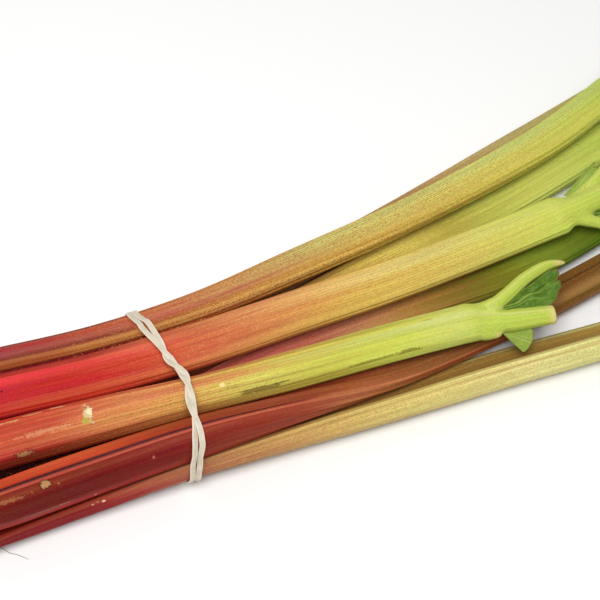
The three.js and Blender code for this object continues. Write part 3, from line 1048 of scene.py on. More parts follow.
@dataclass(frozen=True)
class Stalk:
    """One pulled stalk with its heel, ribbed body and cut leaf end."""

    name: str
    length: float
    seed: int
    route: Route
    skin: StalkSkin
    leaf_end: LeafEnd

    @property
    def node(self) -> str:
        """The CAD node that the stalk replaces."""
        return f"stalk_{self.name}"

    @cached_property
    def sections(self) -> tuple[np.ndarray, np.ndarray]:
        """The body's sections.

        Returns:
            Their points, as rings x sides x 3, and their grain.
        """
        (heel_start, heel_count), (start, count), (neck_start, neck_count) = RINGS
        shares = np.concatenate([
            np.linspace(heel_start, start, heel_count, endpoint=False),
            np.linspace(start, neck_start, count, endpoint=False),
            np.linspace(neck_start, 1.0, neck_count),
        ])
        rows, slopes = Spline(self.route.rows).at(shares)
        angle = np.linspace(0, 2 * np.pi, SIDES, endpoint=False)[None, :]
        from_heel = (rows[:, 0] - self.route.rows[0][0])[:, None]
        to_neck = (self.route.rows[-1][0] - rows[:, 0])[:, None]
        heel = gauss(from_heel, HEEL_REACH)
        neck = gauss(to_neck, NECK_REACH)
        lip_share = np.clip(from_heel / HEEL_LIP, 0, 1)
        lip = HEEL_LIP_SCALE + (1 - HEEL_LIP_SCALE) * np.sqrt(1 - (1 - lip_share) ** 2)
        lip = lip * (NECK_SCALE + (1 - NECK_SCALE) * smooth(0.0, NECK_CLOSE, to_neck))
        ribs = self._rib_height(angle, from_heel)
        ribs = ribs * smooth(0.0, 14.0, from_heel) * smooth(0.0, 10.0, to_neck)
        half = rows[:, 3:4] * (1 + HEEL_FLARE * heel + NECK_SPREAD * neck) + ribs
        depth = rows[:, 4:5] * (1 - HEEL_FLATTEN * heel) + ribs
        across, height = np.cos(angle), np.sin(angle)
        groove = self.route.channel * depth * np.maximum(0, 1 - (across / CHANNEL_HALF) ** 2) ** 2
        rise = RISE_SHARE * depth * np.maximum(height, 0) ** self.route.shoulder - groove
        rise = rise + LIP_HEIGHT * self.route.channel * depth * gauss(np.abs(across) - 0.87, 0.08)
        u = lip * half * across
        v = lip * np.where(height >= 0, rise, depth * height)
        roll = np.radians(rows[:, 5])[:, None]
        sideways = u * np.cos(roll) - v * np.sin(roll)
        upwards = u * np.sin(roll) + v * np.cos(roll)
        points = ring_points(rows[:, :3], slopes, sideways, upwards)
        points[..., 2] = np.maximum(points[..., 2], 0.0)
        return points, grain_at(from_heel, SKIN_RADIUS * across, SKIN_RADIUS * height)

    def _rib_height(self, angle: np.ndarray, along: np.ndarray) -> np.ndarray:
        """Height of the ribs, which waxes and wanes along the stalk and differs from rib to rib.

        Args:
            angle: Places round the stalk.
            along: Distances from the heel.

        Returns:
            How far the skin stands out there, in millimetres.
        """
        strength = 1 + 0.35 * wander(along, 140.0, self.seed)
        coarse = np.cos(RIB_COUNT * angle) * (1 + 0.3 * np.sin(3 * angle + self.seed))
        fine = np.cos(2 * RIB_COUNT * angle + 0.9 * self.seed)
        return strength * (RIB_HEIGHT * coarse + FINE_RIB_HEIGHT * fine)

    def body(self) -> Shell:
        """The body, from its scooped heel to the closed neck."""
        points, grain = self.sections
        wear = np.zeros(points.shape[:2])
        return tube(points, grain, wear, hollows=(2.5, 0.0), open_ends=(True, False))

    def rib(self, rows: Rows) -> Shell:
        """Builds one leaf rib, cut square at its end.

        Args:
            rows: Along, side, up and radius in the axes of the leaf end.

        Returns:
            The rib as a closed tube.
        """
        sides, steps = 40, 56
        shares = 1 - (1 - np.linspace(0, 1, steps)) ** 1.15
        places, slopes = Spline(rows).at(shares)
        angle = np.linspace(0, 2 * np.pi, sides, endpoint=False)[None, :]
        length = run_length(places[:, :3])
        to_end = (length[-1] - length)[:, None]
        rim = 1 - 0.1 * gauss(to_end, 0.45)
        radius = places[:, 3:4] * rim + 0.1 * np.cos(9 * angle + self.seed)
        sideways, upwards = radius * np.cos(angle), 0.85 * radius * np.sin(angle)
        points = ring_points(places[:, :3], slopes, sideways, upwards)
        start = self.length + rows[0][0]
        turned = angle - math.radians(self.route.rows[-1][5])
        across, height = SKIN_RADIUS * np.cos(turned), SKIN_RADIUS * np.sin(turned)
        runs_out = rows[-1][3] < 2.0  # a thin tip has dried
        dry = smooth(11.0, 1.0, to_end) if runs_out else gauss(to_end, 5.0)
        wear = np.broadcast_to(dry, points.shape[:2]).copy()
        grain = grain_at(start + length[:, None], across, height)
        rib = tube(points, grain, wear, hollows=(0.0, 0.5), open_ends=(False, True))
        return self.route.place(rib)

    def build(
        self, upper_face: bpy.types.Material, underside: bpy.types.Material
    ) -> list[bpy.types.Object]:
        """Builds the stalk and its leaf scraps, hangs them on the root body and hides the CAD node
        that they replace.

        Args:
            upper_face: Finish of the leaf scraps that lie face up.
            underside: Finish of those that are turned over.

        Returns:
            The pieces.
        """
        shells = [self.body()] + [self.rib(rows) for rows in self.leaf_end.ribs]
        mesh = join_solids(shells, f"{self.node}_mesh")
        grow_together(mesh, shells)
        finish = self.skin.dress(f"rhubarb_skin_{self.name}", self.length)
        pieces = [new_piece(f"{self.node}_skin", mesh, finish)]
        for number, scrap in enumerate(self.leaf_end.scraps, start=1):
            name = f"{self.node}_leaf_{number}"
            mesh = self.route.place(scrap.shell()).mesh(f"{name}_mesh")
            pieces.append(new_piece(name, mesh, underside if scrap.turned_over else upper_face))
        for piece in pieces:
            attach(piece, "root")
            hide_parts(self.node)
        return pieces


@dataclass(frozen=True)
class SkinThread:
    """A flat thread of torn skin that hangs from a heel on to the table."""

    node: str
    rows: Rows  # x, y, z and half width
    thickness: float = 0.2

    def build(self) -> bpy.types.Object:
        """Builds the thread, hangs it on the root body and hides the CAD stalk it hangs from.

        Returns:
            The piece.
        """
        places, slopes = Spline(self.rows).at(np.linspace(0, 1, 60))
        angle = np.linspace(0, 2 * np.pi, 12, endpoint=False)[None, :]
        sideways = places[:, 3:4] * np.cos(angle)
        upwards = self.thickness * np.sin(angle)
        points = ring_points(places[:, :3], slopes, sideways, upwards)
        points[..., 2] = np.maximum(points[..., 2], 0.05)
        along = np.linspace(0, 60, 60)[:, None]
        grain = grain_at(along, np.cos(angle), np.sin(angle))
        shell = tube(points, grain, np.zeros(points.shape[:2]))
        thread = new_piece(f"{self.node}_torn_thread", shell.mesh("thread_mesh"), DriedSkin().dress())
        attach(thread, "root")
        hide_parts(self.node)
        return thread


def join_solids(shells: Sequence[Shell], name: str) -> bpy.types.Mesh:
    """Unites closed shells into one solid, whose points keep the grain of the nearest old point.

    Args:
        shells: The shells.
        name: The name of the new mesh.

    Returns:
        The mesh of the solid.
    """
    objects = []
    for index, shell in enumerate(shells):
        part = bpy.data.objects.new(f"part_{index}", shell.mesh(f"part_{index}"))
        bpy.context.scene.collection.objects.link(part)
        objects.append(part)
    for part in objects[1:]:
        union = objects[0].modifiers.new("union", "BOOLEAN")
        union.operation = "UNION"
        union.solver = "MANIFOLD"
        union.object = part
    graph = bpy.context.evaluated_depsgraph_get()
    mesh = bpy.data.meshes.new_from_object(objects[0].evaluated_get(graph))
    mesh.name = name
    for part in objects:
        old = part.data
        bpy.data.objects.remove(part)
        bpy.data.meshes.remove(old)
    whole = merge_shells(shells)
    tree = KDTree(len(whole.points))
    for index, point in enumerate(whole.world()):
        tree.insert(point, index)
    tree.balance()
    nearest = np.array([tree.find(vertex.co)[1] for vertex in mesh.vertices])
    store(mesh, "grain", whole.grain[nearest])
    store(mesh, "wear", whole.wear[nearest])
    mesh.shade_smooth()
    return mesh


def grow_together(mesh: bpy.types.Mesh, shells: Sequence[Shell], reach: float = 5.0) -> None:
    """Rounds the creases where the parts of a stalk meet, as they are one grown thing.

    Args:
        mesh: The united mesh.
        shells: The parts that it was made from.
        reach: How far from a crease the surface gives, in millimetres.
    """
    trees = [BVHTree.FromPolygons(shell.world().tolist(), shell.faces) for shell in shells]
    count = len(mesh.vertices)
    points = np.zeros(count * 3)
    mesh.vertices.foreach_get("co", points)
    points = points.reshape(-1, 3)
    edge_table = np.zeros(len(mesh.edges) * 2, dtype=int)
    mesh.edges.foreach_get("vertices", edge_table)
    edges = edge_table.reshape(-1, 2)
    first_rib = min(shell.points[:, 0].min() for shell in shells[1:])
    start = (first_rib + LAYOUT_SHIFT[0] - 8) * MM
    weight = np.zeros(count)
    for index in np.nonzero(points[:, 0] > start)[0]:
        found = [tree.find_nearest(Vector(points[index]), reach * MM)[3] for tree in trees]
        near = sorted(distance / MM for distance in found if distance is not None)
        if len(near) > 1:
            weight[index] = 1 - near[1] / reach
    weight = np.clip(weight * 1.4, 0, 1)
    grain = np.zeros(count * 3)
    mesh.attributes["grain"].data.foreach_get("vector", grain)
    grain = grain.reshape(-1, 3)
    values = np.hstack([points / MM, grain])
    radius = np.linalg.norm(grain[:, 1:], axis=1)
    edges = edges[(weight[edges[:, 0]] > 0) | (weight[edges[:, 1]] > 0)]
    both = np.vstack([edges, edges[:, ::-1]])
    degree = np.maximum(np.bincount(both[:, 0], minlength=count), 1)
    for _ in range(SMOOTHING_PASSES):
        for column in range(values.shape[1]):
            total = np.bincount(both[:, 0], weights=values[both[:, 1], column], minlength=count)
            mean = np.where(weight > 0, total / degree, values[:, column])
            values[:, column] += 0.6 * weight * (mean - values[:, column])
    blended = np.linalg.norm(values[:, 4:], axis=1)
    skin = radius > 0.99 * SKIN_RADIUS
    values[skin, 4:] *= (SKIN_RADIUS / np.maximum(blended[skin], 0.1))[:, None]
    mesh.vertices.foreach_set("co", (values[:, :3] * MM).ravel())
    store(mesh, "grain", values[:, 3:])
    mesh.update()


# ---- rubber band ---------------------------------------------------------------------------------
# how the two strands lie: share of the way round, half turns, half their distance in millimetres,
# and how far the second strand is drawn in
BAND_LAY = (
    (0.0, 0.0, 1.9, 0.0), (0.045, 0.0, 1.75, 0.0), (0.072, 0.02, 1.9, 0.0), (0.102, 0.06, 2.6, 0.0),
    (0.132, 0.14, 2.1, 0.0), (0.163, 0.27, 1.65, 0.0), (0.19, 0.5, 1.4, 0.0), (0.212, 1.0, 1.1, 0.0),
    (0.237, 1.5, 1.1, 0.0), (0.265, 2.0, 1.15, 0.0), (0.29, 2.5, 1.1, 0.0), (0.33, 3.0, 1.25, 0.0),
    (0.375, 3.5, 1.3, 0.0), (0.41, 3.92, 1.8, 0.0), (0.436, 4.0, 2.15, 0.0), (0.458, 4.0, 1.8, 0.4),
    (0.484, 4.0, 2.2, 0.1), (0.508, 4.0, 1.9, 0.25), (0.53, 4.0, 1.8, 0.3), (0.6, 4.0, 1.95, 0.0),
    (1.0, 4.0, 1.9, 0.0),
)
BAND_LENGTH = 360.0
TAUT_SPAN = 1.35  # how far round, in radians, a taut band is held off by what lies beside its path


@dataclass
class RubberBand:
    """One flat rubber band, doubled, its two strands twisted round each other over the top."""

    finish: NaturalRubber
    stalks: Sequence[Stalk]
    width: float = 3.45
    thickness: float = 1.15
    stack: float = 0.5  # how far a strand rises where it crosses the other
    roof: float = 0.22  # how far the strands lean on each other, in radians
    gap: float = 0.3  # to the skin
    reach: float = 3.0  # how far along the stalks the band rests
    centre: tuple[float, float] = (16.0, 21.0)  # Y and Z of the line that it goes round
    under_x: float = 5.0  # where it runs under the bunch
    bow: float = 15.0  # how far it swings out over the top, between 0 and bow_span degrees
    bow_span: float = 200.0
    bow_lean: float = 1.35
    climb: float = 3.2  # a smaller swing, with its middle and its width in degrees
    climb_turn: tuple[float, float] = (36.0, 20.0)
    slip: float = 1.8  # how far the far side has slipped back
    steps: int = 640

    def _x_at(self, turn: np.ndarray) -> np.ndarray:
        """Where the band runs along the bunch.

        Args:
            turn: The angle round it, in radians.

        Returns:
            Its X there, in millimetres.
        """
        share = np.clip(turn / math.radians(self.bow_span), 0, 1)
        middle, width = np.radians(self.climb_turn)
        climb = self.climb * gauss(turn - middle, width)
        slip = self.slip * smooth(1.9, 2.5, turn) * smooth(4.0, 3.4, turn)
        slip = slip - 2.5 * smooth(3.0, 3.45, turn) * smooth(5.6, 4.2, turn)
        return self.under_x + self.bow * np.sin(np.pi * share**self.bow_lean) + climb - slip

    def _outline(self, x: float) -> np.ndarray:
        """Finds where the skins of all the stalks cross a plane.

        Args:
            x: Where the plane stands.

        Returns:
            The Y and Z of the points.
        """
        found = []
        for stalk in self.stalks:
            rings = stalk.sections[0]
            after = np.argmax(rings[..., 0] > x, axis=0)
            side = np.arange(rings.shape[1])
            start, end = rings[after - 1, side], rings[after, side]
            share = ((x - start[:, 0]) / (end[:, 0] - start[:, 0]))[:, None]
            found.append((start + (end - start) * share)[:, 1:])
        return np.vstack(found)

    def _path(self) -> np.ndarray:
        """The closed line of the band over the outline of the bunch, as a taut band takes it.

        Returns:
            Points, evenly spaced along the line.
        """
        leans = np.linspace(-TAUT_SPAN, TAUT_SPAN, 109)
        points = []
        for turn in np.linspace(0, 2 * np.pi, 720, endpoint=False):
            x = float(self._x_at(np.array(turn)))
            held = np.vstack([self._outline(x + step) for step in (-self.reach, 0.0, self.reach)])
            held = held - np.array(self.centre)
            directions = np.stack([np.cos(turn + leans), np.sin(turn + leans)])
            support = (held @ directions).max(axis=0)
            radius = float((support / np.cos(leans)).min())
            y, z = self.centre
            points.append((x, y + radius * math.cos(turn), z + radius * math.sin(turn)))
        line = np.array(points)
        for _ in range(3):
            line = (np.roll(line, 1, axis=0) + 2 * line + np.roll(line, -1, axis=0)) / 4
        ring = np.vstack([line, line[:1]])
        length = run_length(ring)
        even = np.linspace(0, length[-1], self.steps, endpoint=False)
        return np.stack([np.interp(even, length, ring[:, axis]) for axis in range(3)], axis=1)

    def _strand(self, path: np.ndarray, phase: float) -> Shell:
        """Builds one strand.

        Args:
            path: The line that the doubled band follows.
            phase: 0 for one strand and pi for the other.

        Returns:
            The strand as a closed ring.
        """
        along = np.roll(path, -1, axis=0) - np.roll(path, 1, axis=0)
        along /= np.linalg.norm(along, axis=1, keepdims=True)
        out = -np.cross([1.0, 0.0, 0.0], along)
        out /= np.linalg.norm(out, axis=1, keepdims=True)
        side = np.cross(along, out)
        share = np.arange(self.steps) / self.steps
        half_turns, offset, slack = eased(share, BAND_LAY)
        twist = np.pi * half_turns + phase
        over = smooth(0.07, 0.13, share) * smooth(0.56, 0.5, share)
        rise = self.thickness / 2 + self.gap + self.stack * over * (1 + np.sin(twist))
        tilt = over * (self.roof * np.cos(twist) - 0.3 * np.sin(2 * twist))
        if phase:
            offset = offset - slack
            tilt = tilt - 1.6 * slack
        centre = path + out * rise[:, None] + side * (offset * np.cos(twist))[:, None]
        flat = side * np.cos(tilt)[:, None] + out * np.sin(tilt)[:, None]
        thick = out * np.cos(tilt)[:, None] - side * np.sin(tilt)[:, None]
        corner = np.linspace(0, 2 * np.pi, 20, endpoint=False)
        wide = np.sign(np.cos(corner)) * np.abs(np.cos(corner)) ** 0.45 * self.width / 2
        high = np.sign(np.sin(corner)) * np.abs(np.sin(corner)) ** 0.6 * self.thickness / 2
        rings = (
            centre[:, None]
            + flat[:, None] * wide[None, :, None]
            + thick[:, None] * high[None, :, None]
        )
        rings[..., 2] = np.maximum(rings[..., 2], 0.15)
        faces = [face[::-1] for face in grid_faces(self.steps, len(corner), closed=True)]
        run = np.linspace(0, BAND_LENGTH, self.steps)[:, None] + 40 * phase
        grain = grain_at(run, wide[None, :], high[None, :]).reshape(-1, 3)
        return Shell(rings.reshape(-1, 3), faces, grain, np.zeros(len(grain)))

    def build(self) -> bpy.types.Object:
        """Builds the band, hangs it on the root body and hides the CAD band.

        Returns:
            The piece.
        """
        path = self._path()
        mesh = merge_shells([self._strand(path, 0.0), self._strand(path, math.pi)]).mesh("band_mesh")
        band = new_piece("doubled_rubber_band", mesh, self.finish.dress())
        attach(band, "root")
        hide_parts("rubber_band")
        return band


# ---- the studio ----------------------------------------------------------------------------------
@dataclass(frozen=True)
class Studio:
    """A pale table, soft light from above, and a camera that looks down."""

    azimuth: float = -20.0
    elevation: float = 55.0
    distance: float = 1.0
    target: tuple[float, float, float] = (103.0, 46.0, 30.0)  # millimetres in the layout
    lens: float = 100.0
    table_half: float = 6.0  # metres
    room_light: float = 0.32

    def build(self) -> None:
        """Builds the camera, the table and the lights."""
        self._camera()
        self._table()
        self._lights()

    def _camera(self) -> None:
        """Sets the camera on the target, level, from its azimuth and elevation."""
        turn, rise = math.radians(self.azimuth), math.radians(self.elevation)
        level = math.cos(rise)
        back = Vector((math.sin(turn) * level, -math.cos(turn) * level, math.sin(rise)))
        data = bpy.data.cameras.new("camera")
        data.lens = self.lens
        data.sensor_width = 36.0
        data.clip_start, data.clip_end = 0.05, 20.0
        camera = bpy.data.objects.new("camera", data)
        camera.rotation_mode = "QUATERNION"
        target = Vector((np.array(self.target) + LAYOUT_SHIFT) * MM)
        camera.location = target + back * self.distance
        camera.rotation_quaternion = (-back).to_track_quat("-Z", "Y")
        bpy.context.scene.collection.objects.link(camera)
        bpy.context.scene.camera = camera

    def _table(self) -> None:
        """Lays a white laminate table top: a smooth matt plastic with the faintest clouding."""
        material, tree = new_material("white_laminate")
        place = add(tree, "TexCoord").outputs["Object"]
        cloud = add(tree, "TexNoise", {"Vector": place, "Scale": 3.0, "Detail": 2.0})
        colour = add(tree, "Mix", {0: cloud, 6: "#f6f6f5", 7: "#f2f2f1"}, data_type="RGBA")
        shader = add(tree, "BsdfPrincipled", {"Base Color": colour, "Roughness": 0.7, "IOR": 1.45})
        add(tree, "OutputMaterial", [shader])
        mesh = bpy.data.meshes.new("table_top")
        half = self.table_half
        corners = [(-half, -half, 0), (half, -half, 0), (half, half, 0), (-half, half, 0)]
        mesh.from_pydata(corners, [], [(0, 1, 2, 3)])
        table = new_piece("table_top", mesh, material)

    def _lights(self) -> None:
        """Hangs one large soft light over the camera, a weak one behind, and lights the room."""
        for name, place, size, power in (
            ("softbox_over_camera", (-0.25, -0.45, 1.35), 0.9, 19.0),
            ("softbox_behind", (-0.5, 1.0, 1.0), 1.0, 4.0),
        ):
            data = bpy.data.lights.new(name, "AREA")
            data.shape = "SQUARE"
            data.size = size
            data.energy = power
            light = bpy.data.objects.new(name, data)
            light.location = place
            light.rotation_mode = "QUATERNION"
            light.rotation_quaternion = (-Vector(place)).to_track_quat("-Z", "Y")
            bpy.context.scene.collection.objects.link(light)
        world = bpy.data.worlds.new("room")
        world.use_nodes = True
        background = world.node_tree.nodes["Background"]
        background.inputs[0].default_value = (1.0, 1.0, 1.0, 1.0)
        background.inputs[1].default_value = self.room_light
        bpy.context.scene.world = world
        bpy.context.scene.view_settings.view_transform = "Standard"


# ---- the stalks of this bunch --------------------------------------------------------------------
UPPER_FACE = LeafBlade("rhubarb_leaf_upper_face", "#70902c", "#2e5210", "#9cb455")
UNDERSIDE = LeafBlade("rhubarb_leaf_underside", "#98ac48", "#7e9636", "#aab860")

HEEL_THREAD = (
    (-126.0, -33.0, 4.0, 0.4), (-119.0, -32.0, 1.0, 0.35), (-112.0, -33.5, 0.4, 0.3),
    (-106.0, -37.5, 0.4, 0.28), (-102.5, -41.8, 0.4, 0.26), (-98.5, -44.6, 0.4, 0.22),
    (-93.5, -49.2, 0.4, 0.14),
)

REAR_LOW = Stalk(
    "rear_low", 502.0, 1,
    route=Route(channel=0.16, rows=(
        (-118, 64, 8.5, 11.5, 9.2, 0), (-60, 62, 10, 11, 9.3, 0), (5, 62.5, 12.9, 10.5, 9.5, 0),
        (70, 71, 11.2, 10.5, 9.4, 0), (136, 86.8, 9.4, 10.5, 9.2, 0),
        (200, 103.4, 8.3, 10.5, 9.2, 0), (269, 123, 8.3, 10.5, 9.2, 0), (384, 155, 9.2, 10.5, 9, 0),
    )),
    skin=StalkSkin(
        ground=(
            (0, "#a8323a"), (110, "#9c4034"), (200, "#a06444"), (290, "#a48256"), (340, "#b09660"),
            (400, "#b0a468"), (502, "#a4aa60"),
        ),
        red_flecks=((150, 0.2), (300, 0.5), (460, 0.35)),
        pale_flecks=((0, 0), (460, 0.1)),
    ),
    leaf_end=LeafEnd.forked(half=10.5, lengths=(15, 15, 12), spread=0.6, left=0.8, right=0.6),
)

REAR_TOP = Stalk(
    "rear_top", 490.0, 2,
    route=Route(channel=0.16, rows=(
        (-124, 73.4, 26, 12.3, 10.5, -36), (-78, 68.4, 26.2, 12, 10.5, -36),
        (-18, 63.2, 27.4, 11.4, 10.5, -34), (45, 65, 27, 11.4, 10.5, -28),
        (112, 74, 27, 11.6, 10.3, -18), (183, 85, 27, 11.2, 10, -10),
        (259, 101.7, 27, 11.6, 10.2, -6), (308, 117, 26.6, 11.6, 9.8, 0),
        (366, 142, 27, 11.4, 9.3, 0),
    )),
    skin=StalkSkin(
        ground=(
            (0, "#6c0c12"), (106, "#7c2018"), (150, "#a04a22"), (183, "#b46e32"), (223, "#c28c40"),
            (264, "#caa648"), (346, "#d0c456"), (432, "#c6c854"), (490, "#b2c24a"),
        ),
        stripes=(
            Stripe(90, 11.2, 0.5, (
                (0, "#921822"), (44, "#9e1c24"), (106, "#b24a2e"), (150, "#c07248"),
                (183, "#c8985a"), (223, "#c4aa60"), (290, "#ccc46a", 0.75), (346, "#c8c064", 0.5),
                (490, "#b4c45a", 0.4),
            )),
            # paler green along the lit upper side: the skin's own greening with a painted highlight
            # over it
            Stripe(48, 8.5, 0.9, (
                (183, "#b0a868", 0), (240, "#bcbe72", 0.65), (346, "#c2c874", 0.85),
                (490, "#b0c468", 0.8),
            )),
            Stripe(112, 3.6, 0.9, (
                (110, "#c04c3c", 0), (140, "#c45540", 0.85), (183, "#c46a44", 0.85),
                (223, "#c8804a", 0.55), (264, "#ca904e", 0.3), (346, "#ccae5a", 0),
            )),
            Stripe(138, 6.5, 1.0, (
                (120, "#a84c2c", 0), (150, "#ac5430", 0.6), (183, "#b86c3c", 0.7),
                (223, "#c4884a", 0.7), (305, "#d0b458", 0.5), (390, "#d2c45c", 0.4),
                (490, "#bcc458", 0.3),
            )),
            # the ochre near shoulder, painted lighter from 183 mm on: painted light where the shoulder
            # turns away from the lamps
            Stripe(177, 3.9, 0.5, (
                (0, "#9c5228", 0.9), (78, "#a86030", 0.95), (132, "#bc8444", 0.95),
                (183, "#d49e58", 0.95), (264, "#dcb65c", 0.95), (346, "#d4ba58", 0.9),
                (432, "#c8c254", 0.6), (490, "#b8c450", 0.3),
            )),
        ),
        red_flecks=((100, 0.2), (170, 0.65), (330, 0.6), (430, 0.25)),
        pale_flecks=((30, 0.05), (90, 0.25), (140, 0.5), (230, 0.35), (490, 0.1)),
    ),
    leaf_end=LeafEnd.forked(half=11.4, lengths=(32, 28, 26), spread=0.62, left=0.85, right=0.75),
)

REAR_INNER = Stalk(
    "rear_inner", 480.0, 3,
    route=Route(channel=0.16, rows=(
        (-112, 37, 7.6, 12, 9.4, 0), (-60, 35, 8.6, 11.5, 9.3, 0), (5, 34, 13.4, 11.5, 9.4, 0),
        (70, 46, 12.2, 11.3, 9.3, 0), (140, 61.2, 11, 11.7, 9.4, 0), (209, 77, 10, 12.3, 9.6, 0),
        (269, 90, 9.6, 13, 9.8, 0), (368, 119, 9.8, 12.6, 9.6, 0),
    )),
    skin=StalkSkin(
        # the yellow at 264-288 mm is lifted: painted light over the shade that the rear top stalk
        # casts there
        ground=(
            (0, "#8a2028"), (130, "#8a3028"), (220, "#a07c3c"), (264, "#d4bc58"), (288, "#dccc64"),
            (322, "#b8b04c"), (357, "#bec25a"), (400, "#c6cc62"), (480, "#b2c652"),
        ),
        red_flecks=((150, 0.3), (280, 0.35), (380, 0.08)),
        pale_flecks=((0, 0), (400, 0.15)),
    ),
    leaf_end=LeafEnd.forked(half=12.6, lengths=(25, 17, 25), spread=0.6, left=0.65, right=0.85),
)

BROAD_RED = Stalk(
    "broad_red", 418.0, 4,
    route=Route(channel=0.05, shoulder=0.75, rows=(
        (-130, 44, 30, 14.4, 12, 0), (-83, 41, 30.5, 14.3, 12, 0), (-24, 35.8, 31.3, 14.3, 12, 0),
        (36, 35.3, 31.5, 14.2, 11.5, 6), (99, 38.7, 29.8, 13.8, 11.2, 9),
        (165, 42.2, 28, 13.2, 11, 12), (234, 48.7, 27, 12.8, 10.5, 12),
        (288, 54.7, 27, 12.6, 10, 9),
    )),
    skin=StalkSkin(
        ground=(
            (0, "#b41e28"), (45, "#b41c20"), (77, "#b4241c"), (102, "#b83220"), (130, "#ba4628"),
            (165, "#c0643c"), (197, "#c88048"), (263, "#ceaa50"), (296, "#ceb456"),
            (345, "#cac25e"), (418, "#bacc54"),
        ),
        stripes=(
            # painted highlight along the top, over the skin's own paler tone towards the leaf
            Stripe(58, 6.5, 0.8, (
                (0, "#e43c3e", 0.9), (45, "#de3e38", 0.85), (102, "#d0463a", 0.8),
                (130, "#d6604a", 0.8), (165, "#c06c44", 0.7), (197, "#d49c5c", 0.7),
                (230, "#daae66", 0.8), (296, "#d6c678", 0.8), (395, "#c6cc68", 0.6),
            )),
            # painted shade: darker along the far top edge, where the stalk rounds away from the light
            Stripe(32, 4.6, 0.6, (
                (0, "#8c141c", 0.9), (102, "#962428", 0.85), (165, "#a8503c", 0.5),
                (220, "#cc9860", 0.5), (260, "#d8b468", 0),
            )),
            Stripe(120, 2.6, 0.9, (
                (120, "#a84a2c", 0), (200, "#b46a3c", 0.45), (300, "#c09448", 0.35),
                (418, "#b0b850", 0.2),
            )),
            # painted shade along the near lower edge
            Stripe(176, 2.2, 0.8, (
                (0, "#a8201e", 0.6), (130, "#b03c28", 0.5), (200, "#ac5430", 0.5),
                (300, "#b07a3c", 0.6), (345, "#b08a40", 0.5), (418, "#a4b254", 0.4),
            )),
        ),
        red_flecks=((120, 0.1), (240, 0.3), (330, 0.3), (400, 0.1)),
        pale_flecks=((100, 0.05), (170, 0.25), (300, 0.4), (418, 0.15)),
        marks=(Mark(49, 92, 2.2, 1.5, "#4a0c10", 0.8, 0.3),),
    ),
    leaf_end=LeafEnd(
        ribs=(
            ((-14, 0, 0, 8.6), (8, 0, 0.3, 8.2), (34, 3, 0.2, 7.2), (58, 7, 0, 6)),
            ((-4, 5, -1, 4.6), (14, 9, 0, 4.2), (32, 16.5, 1, 3.8), (50, 27, 2, 3)),
            ((-4, -5, -1, 4.8), (8, -12, -3, 4.2), (20, -22, -5, 3.4), (32, -33, -6, 2.8)),
        ),
        scraps=(
            Scrap(sag=-1.5, wave=0.8, crumple=0.6, corners=(
                (9, 3, 0), (40, 5, 0), (14, 9, 0.5), (38, 20, 1.5),
            )),
            Scrap(sag=1.0, wave=0.6, torn=0.5, turned_over=True, corners=(
                (5, 7, 1), (32, 17, 1.5), (1, 12.5, -0.5), (31, 27, -1),
            )),
            Scrap(sag=-1.5, wave=0.9, corners=(
                (2, -4, -1), (22, -3, -1), (5, -11, -3), (16, -19, -5),
            )),
        ),
    ),
)

MIDDLE_LOW = Stalk(
    "middle_low", 446.0, 5,
    route=Route(channel=0.14, rows=(
        (-106, 7, 7.6, 11.5, 9.3, 0), (-50, 5, 8.8, 11, 9.4, 0), (5, 8, 13.4, 11.3, 9.4, 0),
        (60, 19.5, 13.4, 11.3, 9.5, 0), (110, 27, 12, 11, 9.3, 0), (162, 31, 10.5, 11.5, 9.3, 0),
        (229, 33.5, 10, 11.5, 9.3, 0), (273, 40.5, 9.5, 11.5, 9.2, 0), (340, 59, 9.2, 11.5, 9, 0),
    )),
    skin=StalkSkin(
        # red to olive along the stalk; near black at the heel as painted shade of the crevice under
        # the leafy and front top stalks, and lifted at 150-253 mm as painted light over the broad red
        # stalk's shade
        ground=(
            (0, "#2c0a12"), (110, "#5c1c20"), (150, "#b04c46"), (175, "#bc6656"), (201, "#be7058"),
            (227, "#be845e"), (253, "#c08c58"), (280, "#a8803e"), (306, "#80702a"),
            (332, "#747c20"), (358, "#7a902c"), (400, "#4c6a18"), (446, "#6c8c28"),
        ),
        red_flecks=((150, 0.2), (260, 0.4), (380, 0.2)),
        pale_flecks=((150, 0.15), (300, 0.1)),
        blanched=6.0,
    ),
    leaf_end=LeafEnd.forked(half=11.5, lengths=(24, 22, 18), spread=0.5, left=0.75, right=0.6),
)

